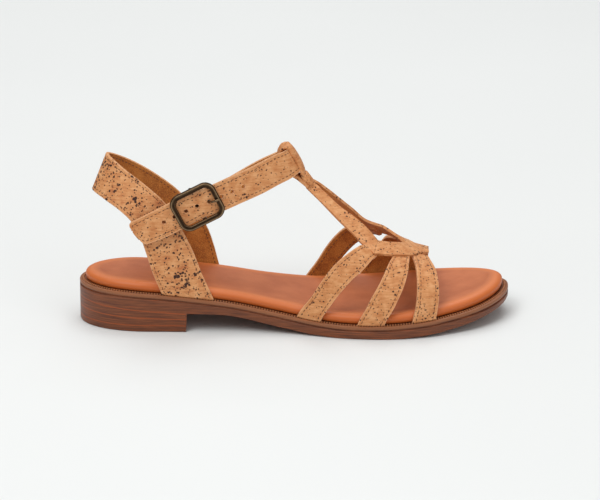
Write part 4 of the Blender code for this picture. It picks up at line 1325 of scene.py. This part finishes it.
@dataclass
class Footbed:
    """Padded footbed: foam under soft leather that rolls over its edge, dished under heel and ball."""

    rungs: int = 130
    columns: int = 26
    thickness: float = 5.4 * MM
    roll: float = 3.6 * MM
    inset: float = RIM_WIDTH + STRAP_THICKNESS + FIT_GAP
    dish: float = 0.9 * MM
    dish_reach: float = 9 * MM

    def build(self, finishes: Finishes) -> None:
        """Models the footbed from its underside up over the roll.

        Args:
            finishes: materials.
        """
        profile = [(self.inset + self.roll * 0.25, 0.02, 1.0)]
        for i in range(1, 13):
            turn = math.pi * (i / 12) - math.pi / 2
            share = 0.5 + 0.5 * math.sin(turn)
            out = self.inset + self.roll * (1 - math.cos(turn)) * (0.28 if turn < 0 else 1.0)
            profile.append((out, share, 1.0 if turn < 0 else 1.0 - 0.3 * turn))
        profile += [(self.inset + self.roll * 1.5, 0.965, 0.32), (self.inset + self.roll * 2.3, 0.955, 0.0)]
        piece = add_sheet("footbed_padded", self.points(*profile[0][:2]))
        levels = [level_of(self.points(out, share), value) for out, share, value in profile[1:]]
        pull_levels(piece, levels, "roll", 1.0)
        smooth(piece, 60)
        dress(piece, "footbed_leather", finishes.footbed)
        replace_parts(piece, "footbed")

    def points(self, inset: float, share: float) -> list[list[Vector]]:
        """Lays rows of points across the footbed at one level.

        Args:
            inset: distance inward from the edge.
            share: share of the thickness.

        Returns:
            The rows from heel to toe.
        """
        rows = []
        for (start, _), (outer, inner) in zip(FOOT.rungs(0.0, self.rungs), FOOT.rungs(inset, self.rungs)):
            z = FOOT.top(start.x) + FIT_GAP + self.thickness * share
            row = []
            for j in range(self.columns + 1):
                t = (1 - math.cos(math.pi * j / self.columns)) / 2
                point = outer.lerp(inner, t)
                dish = 0.0
                if share > 0.9:
                    edge = min(t, 1 - t) * (inner - outer).length
                    dish = self.dish * (1 - math.exp(-((edge / self.dish_reach) ** 2)))
                row.append(Vector((point.x, point.y, z - dish)))
            rows.append(row)
        return rows


@dataclass
class FrontUpper:
    """Six front straps, the two folded arms of the kite, and the loop at the top of the T."""

    loop_width: float = 11.5 * MM
    loop_bow: float = 1.6 * MM
    loop_rows: int = 56
    loop_rounding: float = 0.7 * MM
    strap_steps: int = 34
    arm_steps: int = 64
    sleeve_sides: int = 32
    fold_inside: float = 1.3 * MM
    fold_outside: float = 0.3 * MM
    arm_trim: float = 1.2 * MM
    mitre: int = 6

    def build(self, finishes: Finishes) -> None:
        """Models all pieces of the front upper.

        Args:
            finishes: materials.
        """
        stitches: list[Stitch] = []
        for number, folds in enumerate(FRONT_STRAPS):
            for side in Side:
                name = f"front_strap_{number + 1}_{side.name.lower()}"
                strap = self.strap(name, folds, side, number)
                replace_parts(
                    dress(strap.build(), "cork_fabric", finishes.cork, finishes.lining, finishes.edge),
                    "front_upper",
                )
                stitches += strap.stitches(strap.edge_lines(1.0 * MM, strap.length - 2.0 * MM))
        dress(Stitching("front_stitches", stitches).build(), "cork_fabric", finishes.thread)
        for side, rows in ((Side.OUTER, OUTER_ARM), (Side.INNER, INNER_ARM)):
            arm = self.arm(f"kite_arm_{side.name.lower()}", rows, side)
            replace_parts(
                dress(arm.build(), "cork_fabric", finishes.cork, finishes.lining, finishes.cork),
                "front_upper",
            )
        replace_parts(dress(self.loop(), "cork_fabric", finishes.cork), "front_upper")
        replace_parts(dress(self.sleeve(), "cork_fabric", finishes.cork), "front_upper")

    def strap(self, name: str, folds: Sequence[Row], side: Side, number: int) -> Band:
        """Makes a front strap, from its foot on the sole to under the kite's arm.

        Args:
            name: its name.
            folds: its rows, from the foot up.
            side: side of the shoe.
            number: which strap, from the heel on.

        Returns:
            The strap.
        """
        flow = Flow(folds)
        inner = side == Side.INNER
        forward = INNER_FORWARD[number] if inner else 0.0
        tuck, start = (INNER_TUCKS if inner else OUTER_TUCKS)[number]

        def at(u: float, v: float) -> Vector:
            """Finds a point on the strap's middle surface.

            Args:
                u: place along.
                v: share across.

            Returns:
                The point.
            """
            rear, rear_rise, front, front_rise = flow.at(u / FOLD_SCALE)
            rise = rear_rise + (front_rise - rear_rise) * v
            point = FOOT.over(rear + (front - rear) * v + forward, side, rise)
            under = min(1.0, max(0.0, (u / FOLD_SCALE / flow.length - start) / (1 - start) * TUCK_RAMP))
            return point + Vector((0.0, -side * TUCK_INWARD, -TUCK_DOWN)) * (tuck * under * MM)

        outward = Vector((0.0, float(side), 0.0))
        return Band(name, at, flow.length * FOLD_SCALE, outward, steps=self.strap_steps)

    def arm(self, name: str, rows: Sequence[Row], side: Side) -> Band:
        """Makes a folded arm of the kite, with a mitre seam at its corner.

        Args:
            name: its name.
            rows: its inner and outer edge.
            side: side of the shoe.

        Returns:
            The arm.
        """
        points = [(*share_point(*row[:3]), *share_point(*row[3:])) for row in rows]
        rear, front = Flow(points[: self.mitre + 1]), Flow(points[self.mitre :])
        thickness = self.fold_inside + self.fold_outside

        def at(u: float, v: float) -> Vector:
            """Finds a point on the arm, which turns at its mitre.

            Args:
                u: place along.
                v: share across.

            Returns:
                The point.
            """
            row = rear.at(u) if u <= rear.length else front.at(u - rear.length)
            inner, outer = Vector(row[:3]), Vector(row[3:])
            trim = self.arm_trim * max(0.0, 1 - (u / rear.length) ** 3)
            return inner.lerp(outer, v * (1 - trim / (outer - inner).length))

        return Band(
            name,
            at,
            rear.length + front.length,
            Vector((0.0, float(side), 0.5)),
            thickness=thickness,
            offset=(self.fold_outside - self.fold_inside) / thickness,
            rounding=0.6 * MM,
            steps=self.arm_steps,
            creases=(rear.length,),
            folded=True,
        )

    def loop(self) -> Object:
        """Models the loop through which the ankle strap passes.

        Returns:
            The loop.
        """
        flow = Flow(LOOP_FOLDS)
        skins: list[list[list[Vector]]] = [[], []]
        for i in range(self.loop_rows + 1):
            outer_along, outer_up, inner_along, inner_up = flow.at(flow.length * i / self.loop_rows)
            for skin, along, up in zip(skins, (outer_along, inner_along), (outer_up, inner_up)):
                row = []
                for j in range(9):
                    share = j / 4 - 1
                    x = along * SOLE_LENGTH - self.loop_bow * share**2
                    row.append(Vector((x, share * self.loop_width / 2, up * INSTEP_HEIGHT)))
                skin.append(row)
        piece = add_sheet("t_bar_loop", skins[0])
        pull_levels(piece, [level_of(skins[1], NO_EDGE)], "edge_mm", NO_EDGE)
        round_edges(piece, self.loop_rounding, 3, 60)
        apply_modifiers(piece)
        return smooth(piece, 50)

    def sleeve(self) -> Object:
        """Models the oval sleeve round the neck, where the loop and the kite's arms meet.

        Returns:
            The sleeve.
        """
        start, end = (Vector((along * SOLE_LENGTH, 0.0, up * INSTEP_HEIGHT)) for along, up in NECK_ENDS)
        direction = (end - start).normalized()
        depth = Vector((0.0, 1.0, 0.0)).cross(direction)
        select_only(None)
        bpy.ops.mesh.primitive_circle_add(
            vertices=self.sleeve_sides, radius=NECK_HALF_WIDTH, fill_type="NGON"
        )
        piece = bpy.context.object
        piece.name = piece.data.name = "neck_sleeve"

        def ring(share: float, full: float) -> Level:
            """Makes one oval of the sleeve.

            Args:
                share: share of the sleeve's length.
                full: share of its full size.

            Returns:
                The level.
            """

            def at(number: int) -> tuple[Vector, float]:
                """Places a point of the oval.

                Args:
                    number: number of the point.

                Returns:
                    Its place and value.
                """
                turn = 2 * math.pi * number / self.sleeve_sides
                offset = Vector((0.0, NECK_HALF_WIDTH * math.cos(turn), 0.0))
                offset += depth * (NECK_HALF_DEPTH * math.sin(turn))
                return place(*(start.lerp(end, share) + offset * full)), NO_EDGE

            return at

        first = ring(0.0, 0.82)
        for vert in piece.data.vertices:
            vert.co = first(vert.index)[0]
        sizes = ((0.03, 0.95), (0.10, 1.0), (0.5, 1.02), (0.90, 1.0), (0.97, 0.95), (1.0, 0.82))
        levels = [ring(share, full) for share, full in sizes]
        pull_levels(piece, levels, "edge_mm", NO_EDGE)
        return smooth(piece, 60)


@dataclass
class HeelBand:
    """Band from the outer side of the sole round the heel to the inner side."""

    steps: int = 110
    seam_end: float = 1.0 * MM

    def band(self) -> Band:
        """Works out the band's surface and sizes.

        Returns:
            The band.
        """
        feet = []
        for side, rear, front, lean in HEEL_BAND_FEET:
            rows = []
            for lift, back in ((FIT_GAP, 0.0), (FIT_GAP + Footbed.thickness, lean)):
                row: list[float] = []
                for along in (rear, front):
                    x = along * SOLE_LENGTH
                    y = FOOT.edge_y(x, side) - side * FOOT_INSET
                    row += [x - back * SOLE_LENGTH, y, FOOT.top(x) + lift]
                rows.append(row)
            feet.append(rows)
        rows = feet[0] + [(*share_point(*row[:3]), *share_point(*row[3:])) for row in HEEL_BAND]
        rows += list(reversed(feet[1]))
        surface, length = edge_surface(rows)
        return Band("heel_band_cork", surface, length, Vector((0.0, -1.0, 0.0)), steps=self.steps)

    def build(self, finishes: Finishes) -> None:
        """Models the band and its stitches.

        Args:
            finishes: materials.
        """
        band = self.band()
        piece = dress(band.build(), "cork_fabric", finishes.heel_cork, finishes.lining, finishes.edge)
        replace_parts(piece, "heel_band")
        stitches = band.stitches(band.edge_lines(self.seam_end, band.length - self.seam_end))
        dress(Stitching("heel_band_stitches", stitches).build(), "cork_fabric", finishes.thread)


@dataclass
class Buckle:
    """Rounded buckle frame with a set-back centre bar, its prong and its holder strip."""

    length: float = 28.5 * MM
    width: float = 23.5 * MM
    corner: float = 6.5 * MM
    bar: float = 3.3 * MM
    depth: float = 2.6 * MM
    centre_bar: float = 1.0 * MM
    post: float = 1.2 * MM
    prong: float = 0.7 * MM
    prong_ring: float = 0.6 * MM
    tab_width: float = 13.0 * MM
    tab_length: float = 17.0 * MM
    tab_slot: float = 3.0 * MM
    slope: float = math.radians(27.0)
    frame_segments: int = 56
    along: float = 0.2746
    across: float = 0.522
    up: float = 0.915

    def centre(self) -> Vector:
        """Finds the buckle's centre on the strap's middle.

        Returns:
            The centre.
        """
        return Vector(
            (self.along * SOLE_LENGTH, -(self.across * BALL_HALF_WIDTH + OVER_TAB), self.up * INSTEP_HEIGHT)
        )

    def axes(self) -> tuple[Vector, Vector, Vector]:
        """Works out the buckle's own directions: along the strap, across it and outward.

        Returns:
            The three directions.
        """
        along = Vector((math.cos(self.slope), 0.0, math.sin(self.slope)))
        across = Vector((-math.sin(self.slope), 0.0, math.cos(self.slope)))
        return along, across, Vector((0.0, -1.0, 0.0))

    def point(self, u: float, v: float, n: float) -> Vector:
        """Place from distances along the strap, across it and outward."""
        along, across, outward = self.axes()
        return self.centre() + along * u + across * v + outward * n

    def eye(self) -> float:
        """Outer radius of the holder's eye."""
        return self.centre_bar + FIT_GAP + TAB_SKIN

    def back(self) -> float:
        """How far the centre bar lies behind the strap's middle."""
        return STRAP_THICKNESS / 2 + FIT_GAP + self.eye()

    def height(self) -> float:
        """How far the frame's middle lies in front of the strap's middle."""
        return STRAP_THICKNESS / 2 + FIT_GAP + self.depth / 2

    def move_in(self, piece: Object) -> None:
        """Moves a piece that was modelled flat to its place.

        Args:
            piece: piece in the buckle's own directions.
        """
        for vert in piece.data.vertices:
            vert.co = place(*self.point(*vert.co))
        edit_all(piece)
        close_edit(piece)

    def frame(self) -> Object:
        """Models the frame: a ring whose quarters are moved apart, so that it has straight bars.

        Returns:
            The frame.
        """
        select_only(None)
        inner = self.corner - self.bar / 2
        bpy.ops.mesh.primitive_torus_add(
            major_segments=self.frame_segments,
            minor_segments=18,
            major_radius=inner,
            minor_radius=self.bar / 2,
        )
        piece = bpy.context.object
        piece.name = piece.data.name = "buckle_frame_brass"
        shift_u = self.length / 2 - self.corner
        shift_v = self.width / 2 - self.corner
        turn = math.pi / self.frame_segments
        wear_and_highlight = []
        for vert in piece.data.vertices:
            x = vert.co.x * math.cos(turn) - vert.co.y * math.sin(turn)
            y = vert.co.x * math.sin(turn) + vert.co.y * math.cos(turn)
            n = vert.co.z / (self.bar / 2)
            outward = (math.hypot(x, y) - inner) / (self.bar / 2)
            # Mask is lighter on the upper face's outer ridge and inner lip, partly wear and partly a
            # painted highlight; the inner slope and the back stay dark as painted shade.
            wear_highlight_mask = 0.9 * math.exp(-(((outward - 0.45) / 0.25) ** 2))
            wear_highlight_mask += 0.6 * math.exp(-(((outward + 0.85) / 0.15) ** 2))
            wear_and_highlight.append(wear_highlight_mask if n > 0 else 0.0)
            height = self.height() + math.copysign(abs(n) ** 0.8, n) * self.depth / 2
            vert.co = (x + math.copysign(shift_u, x), y + math.copysign(shift_v, y), height)
        set_attribute(piece, "wear_and_highlight", wear_and_highlight)
        return piece

    def rod(self, name: str, ends: tuple[Point, Point], radius: float) -> Object:
        """Models a round rod in the buckle's own directions.

        Args:
            name: its name.
            ends: its two ends.
            radius: its radius.

        Returns:
            The rod.
        """
        start, end = Vector(ends[0]), Vector(ends[1])
        select_only(None)
        turn = (end - start).to_track_quat("Z", "Y").to_euler()
        bpy.ops.mesh.primitive_cylinder_add(
            vertices=16,
            radius=radius,
            depth=(end - start).length,
            location=(start + end) / 2,
            rotation=turn,
        )
        piece = bpy.context.object
        piece.name = name
        bpy.ops.object.transform_apply(location=True, rotation=True, scale=True)
        round_edges(piece, radius * 0.3, 2, 30)
        apply_modifiers(piece)
        set_attribute(piece, "wear_and_highlight", [0.3] * len(piece.data.vertices))
        return piece

    def join(self, pieces: Sequence[Object]) -> Object:
        """Joins pieces into the first one.

        Args:
            pieces: pieces to join.

        Returns:
            The first piece.
        """
        select_only(pieces[0])
        for piece in pieces[1:]:
            piece.select_set(True)
        bpy.ops.object.join()
        return pieces[0]

    def pull_rod(self, name: str, path: Sequence[Point], radii: Sequence[float]) -> Object:
        """Round rod pulled along a path in the plane across the centre bar.

        Args:
            name: piece's name.
            path: points along, across and outward.
            radii: radius at each point.

        Returns:
            The rod, still in the buckle's own directions.
        """
        select_only(None)
        sides = 12
        bpy.ops.mesh.primitive_circle_add(vertices=sides, radius=radii[0], fill_type="NGON")
        piece = bpy.context.object
        piece.name = name
        points = [Vector(point) for point in path]
        across = Vector((0.0, 1.0, 0.0))
        rings = []
        for i, point in enumerate(points):
            after = points[min(i + 1, len(points) - 1)]
            before = points[max(i - 1, 0)]
            side = across.cross(after - before).normalized()
            turns = [2 * math.pi * k / sides for k in range(sides)]
            rings.append([point + (side * math.cos(t) + across * math.sin(t)) * radii[i] for t in turns])
        for vert in piece.data.vertices:
            vert.co = rings[0][vert.index]
        levels = [lambda number, ring=ring: (ring[number], 0.6) for ring in rings[1:]]
        pull_levels(piece, levels, "wear_and_highlight", 0.4)
        return piece

    def build_prong(self, hole: Vector) -> Object:
        """Models the prong: a ring round the centre bar and a shank through the hole onto the front bar.

        Args:
            hole: centre of the prong's hole.

        Returns:
            The prong.
        """
        ring_radius = self.centre_bar + FIT_GAP + self.prong_ring
        select_only(None)
        bpy.ops.mesh.primitive_torus_add(
            major_segments=28, minor_segments=12, major_radius=ring_radius, minor_radius=self.prong_ring
        )
        ring = bpy.context.object
        ring.name = ring.data.name = "buckle_prong_brass"
        for vert in ring.data.vertices:
            vert.co = (vert.co.x, vert.co.z, vert.co.y - self.back())
        set_attribute(ring, "wear_and_highlight", [0.4] * len(ring.data.vertices))
        rest = self.height() + self.depth / 2 + FIT_GAP + self.prong
        bar_u = self.length / 2 - self.bar / 2
        clear = STRAP_THICKNESS / 2 + FIT_GAP + self.prong
        along, across, outward = self.axes()
        from_centre = hole - self.centre()
        hole_u, hole_n = from_centre.dot(along), from_centre.dot(outward)
        lean = from_centre.dot(across) / hole_u
        rows = [
            (ring_radius, -self.back() - self.prong_ring / 3),
            (hole_u * 0.75, hole_n - clear - self.prong),
            (hole_u, hole_n - clear / 2),
            (hole_u + 0.2 * MM, hole_n + clear / 2),
            (hole_u + (bar_u - hole_u) * 0.35, rest * 0.80),
            (bar_u - self.bar / 2, rest),
            (bar_u + self.bar / 4, rest - 0.05 * MM),
        ]
        flow = Flow(rows)
        path = [flow.at(flow.length * i / 40) for i in range(41)]
        radii = [self.prong * math.sqrt(1 - (max(0, i - 36) / 4.3) ** 2) for i in range(41)]
        shank = self.pull_rod("shank", [(u, u * lean, n) for u, n in path], radii)
        return self.join([ring, shank])

    def build_holder(self) -> Object:
        """Models the holder: a strip folded round the centre bar, slotted for the prong.

        Returns:
            The holder.
        """
        middle = self.eye() - TAB_SKIN / 2
        straight, bend, columns = 16, 14, 13
        path = [(-self.tab_length * (1 - i / straight), middle) for i in range(straight + 1)]
        turns = [math.pi * i / bend for i in range(1, bend + 1)]
        path += [(middle * math.sin(turn), middle * math.cos(turn)) for turn in turns]
        reach = 2 * middle - TAB_SKIN - 0.1 * MM
        for i in range(1, straight + 1):
            share = i / straight
            closed = min(1.0, share * 3)
            path.append((-self.tab_length * share, reach * (3 * closed**2 - 2 * closed**3) - middle))
        places_across = [self.tab_width * (j / (columns - 1) - 0.5) for j in range(columns)]
        rows = [[self.point(u, v, n - self.back()) for v in places_across] for u, n in path]
        piece = add_sheet("buckle_holder_leather", rows)
        edit_all(piece)
        bpy.ops.mesh.select_all(action="DESELECT")
        mesh = bmesh.from_edit_mesh(piece.data)
        mesh.faces.ensure_lookup_table()
        for number, face in enumerate(mesh.faces):
            row, column = divmod(number, columns - 1)
            face.select = straight - 3 <= row < straight + bend + 2 and column in (5, 6)
        bmesh.update_edit_mesh(piece.data)
        bpy.ops.mesh.delete(type="FACE")
        bpy.ops.object.mode_set(mode="OBJECT")
        solid = piece.modifiers.new("thickness", "SOLIDIFY")
        solid.thickness = TAB_SKIN
        solid.offset = 0.0
        round_edges(piece, 0.25 * MM, 2, 60)
        apply_modifiers(piece)
        edit_all(piece)
        close_edit(piece)
        return smooth(piece, 45)

    def build(self, finishes: Finishes, hole: Vector) -> None:
        """Models the frame, prong and holder.

        Args:
            finishes: materials.
            hole: centre of the hole that the prong goes through.
        """
        frame = self.frame()
        reach = self.width / 2 - self.bar / 2 - 1.0 * MM
        back = -self.back()
        parts = [frame, self.rod("centre_bar", ((0, -reach, back), (0, reach, back)), self.centre_bar)]
        for v in (-reach, reach):
            ends = ((0, v, back - self.centre_bar), (0, v, self.height() - 0.4 * MM))
            parts.append(self.rod("post", ends, self.post))
        joined = self.join(parts)
        self.move_in(joined)
        smooth(joined, 40)
        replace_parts(dress(joined, "antique_brass", finishes.brass), "buckle_frame")
        prong = self.build_prong(hole)
        self.move_in(prong)
        smooth(prong, 50)
        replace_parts(dress(prong, "antique_brass", finishes.brass), "buckle_prong")
        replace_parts(dress(self.build_holder(), "holder_leather", finishes.holder), "buckle_tab")


@dataclass
class AnkleStrap:
    """Ankle strap with its punched holes, pressed hole rims and stitches."""

    tip_radius: float = 3.6 * MM
    hole_radius: float = 1.15 * MM
    hole_rim: float = 0.22 * MM
    hole_pitch: float = 7.2 * MM
    holes_behind: int = 4
    holes_ahead: int = 3

    def band(self) -> Band:
        """Works out the strap's surface and sizes.

        Returns:
            The strap.
        """
        rows = []
        for row in ANKLE_STRAP:
            top, low = list(share_point(*row[:3])), list(share_point(*row[3:6]))
            for point in (top, low):
                point[1] += math.copysign(row[6], point[1]) if row[6] else 0.0
            rows.append(top + low)
        surface, length = edge_surface(rows)
        return Band(
            "ankle_strap_cork", surface, length, Vector((0.0, -1.0, 0.0)), steps=130, tip=self.tip_radius
        )

    def hole_places(self, band: Band, start_near: Vector) -> list[float]:
        """Places along the strap of its punched holes.

        Args:
            band: the strap.
            start_near: point next to the prong's hole.

        Returns:
            Places along, from the tip.
        """
        steps = 500
        along = [band.length * i / steps for i in range(steps + 1)]
        middles = [band.surface(u, 0.5) for u in along]
        nearest = min(range(steps + 1), key=lambda i: (middles[i] - start_near).length)
        found = []
        for count in range(-self.holes_behind, self.holes_ahead + 1):
            step = 1 if count > 0 else -1
            i, walked = nearest, 0.0
            while walked < abs(count) * self.hole_pitch:
                walked += (middles[i + step] - middles[i]).length
                i += step
            found.append(along[i])
        return found

    def punch(self, strap: Object, band: Band, holes: Sequence[float]) -> None:
        """Cuts the holes through the strap.

        Args:
            strap: piece to cut.
            band: its surface.
            holes: places of the holes along it.
        """
        for u in holes:
            select_only(None)
            middle = place(*band.surface(u, 0.5))
            turn = band.normal(u, 0.5).to_track_quat("Z", "Y").to_euler()
            bpy.ops.mesh.primitive_cylinder_add(
                vertices=24, radius=self.hole_radius, depth=8 * MM, location=middle, rotation=turn
            )
            cutter = bpy.context.object
            cut = strap.modifiers.new("hole", "BOOLEAN")
            cut.operation = "DIFFERENCE"
            cut.solver = "EXACT"
            cut.object = cutter
            apply_modifiers(strap)
            bpy.data.objects.remove(cutter)

    def rims(self, band: Band, holes: Sequence[float]) -> Object:
        """Models the pressed rims round the holes.

        Args:
            band: strap's surface.
            holes: places of the holes along it.

        Returns:
            All rims as one piece.
        """
        rims = []
        for u in holes:
            select_only(None)
            normal = band.normal(u, 0.5)
            middle = place(*(band.surface(u, 0.5) + normal * (band.thickness / 2 - 0.02 * MM)))
            bpy.ops.mesh.primitive_torus_add(
                major_segments=24,
                minor_segments=6,
                major_radius=self.hole_radius + self.hole_rim,
                minor_radius=self.hole_rim,
                location=middle,
                rotation=normal.to_track_quat("Z", "Y").to_euler(),
            )
            rim = bpy.context.object
            bpy.ops.object.transform_apply(location=True, rotation=True, scale=True)
            rims.append(rim)
        select_only(rims[0])
        for rim in rims:
            rim.select_set(True)
        bpy.ops.object.join()
        rims[0].name = rims[0].data.name = "hole_rims"
        return smooth(rims[0], 70)

    def build(self, finishes: Finishes, buckle: Buckle) -> Vector:
        """Models the strap.

        Args:
            finishes: materials.
            buckle: buckle on the strap.

        Returns:
            Centre of the hole that the prong goes through.
        """
        band = self.band()
        strap = band.build()
        holes = self.hole_places(band, buckle.point(self.hole_pitch, 0.0, 0.0))
        self.punch(strap, band, holes)
        smooth(strap, 50)
        dress(strap, "cork_fabric", finishes.cork, finishes.lining, finishes.edge)
        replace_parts(strap, "ankle_strap")
        dress(self.rims(band, holes), "cork_fabric", finishes.edge)
        stitches = band.stitches(band.edge_lines(2.0 * MM, band.length - 2.0 * MM, True))
        cross = holes[self.holes_behind + 1] + 5.2 * MM
        line = [(cross, band.width(cross) * (0.2 + 0.6 * i / 8)) for i in range(9)]
        stitches += band.seam_line(line, STITCH_PITCH * 0.8, True)
        dress(Stitching("ankle_strap_stitches", stitches).build(), "cork_fabric", finishes.thread)
        return band.surface(holes[self.holes_behind], 0.5)


@dataclass
class Studio:
    """Pale floor, soft lights and the camera at the photograph's angle."""

    aim: Point = (0.098, 0.0, 0.040)
    distance: float = 2.308
    elevation: float = math.radians(18.0)
    yaw: float = math.radians(-1.4)
    lens: float = 236.5
    floor_size: float = 24.0
    world_strength: float = 0.30

    def build(self, finishes: Finishes) -> None:
        """Makes the camera, the floor and the lights.

        Args:
            finishes: materials.
        """
        self.camera()
        self.floor(finishes)
        self.light("key_softbox", (-0.75, -1.15, 1.7), 1.1, 17.0)
        self.light("fill_softbox", (1.3, -1.5, 1.0), 1.6, 8.0)
        self.light("top_softbox", (0.1, 0.1, 2.0), 2.2, 22.0)
        self.light("backdrop_softbox", (0.1, 1.5, 1.8), 1.5, 12.0, (0.1, 0.9, 0.0))
        world = bpy.data.worlds.new("studio_air")
        world.use_nodes = True
        background = world.node_tree.nodes["Background"]
        background.inputs["Color"].default_value = (1.0, 1.0, 1.0, 1.0)
        background.inputs["Strength"].default_value = self.world_strength
        bpy.context.scene.world = world
        bpy.context.scene.view_settings.view_transform = "Standard"

    def camera(self) -> None:
        """Camera with a long lens and no depth of field."""
        flat = math.cos(self.elevation)
        view = Vector((-math.sin(self.yaw) * flat, math.cos(self.yaw) * flat, -math.sin(self.elevation)))
        data = bpy.data.cameras.new("camera")
        data.sensor_fit = "HORIZONTAL"
        data.sensor_width = 36.0
        data.lens = self.lens
        data.clip_end = 50.0
        camera = bpy.data.objects.new("camera", data)
        camera.location = Vector(self.aim) - view * self.distance
        camera.rotation_euler = view.to_track_quat("-Z", "Y").to_euler()
        bpy.context.scene.collection.objects.link(camera)
        bpy.context.scene.camera = camera

    def light(self, name: str, spot: Point, size: float, power: float, aim: Optional[Point] = None) -> None:
        """Adds a square softbox.

        Args:
            name: what the light is.
            spot: its place.
            size: side of its square.
            power: its power in watts.
            aim: the place it is turned to, or None for the sandal.
        """
        data = bpy.data.lights.new(name, "AREA")
        data.size = size
        data.energy = power
        lamp = bpy.data.objects.new(name, data)
        lamp.location = spot
        lamp.rotation_euler = (Vector(aim or self.aim) - Vector(spot)).to_track_quat("-Z", "Y").to_euler()
        bpy.context.scene.collection.objects.link(lamp)

    def floor(self, finishes: Finishes) -> None:
        """Lays the wide floor that fills the camera's view.

        Args:
            finishes: materials.
        """
        select_only(None)
        bpy.ops.mesh.primitive_grid_add(
            x_subdivisions=8,
            y_subdivisions=8,
            size=self.floor_size,
            location=(0.0, self.floor_size / 4, 0.0),
        )
        bpy.ops.object.transform_apply(location=True, rotation=True, scale=True)
        floor = bpy.context.object
        floor.name = floor.data.name = "studio_floor"
        floor.data.materials.append(finishes.floor)


def main() -> None:
    """Loads the frame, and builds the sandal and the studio."""
    logging.basicConfig(level=logging.INFO, format="%(message)s")
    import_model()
    finishes = Finishes()
    Studio().build(finishes)
    Outsole().build(finishes)
    Footbed().build(finishes)
    FrontUpper().build(finishes)
    HeelBand().build(finishes)
    buckle = Buckle()
    hole = AnkleStrap().build(finishes, buckle)
    buckle.build(finishes, hole)


if __name__ == "__main__":
    main()
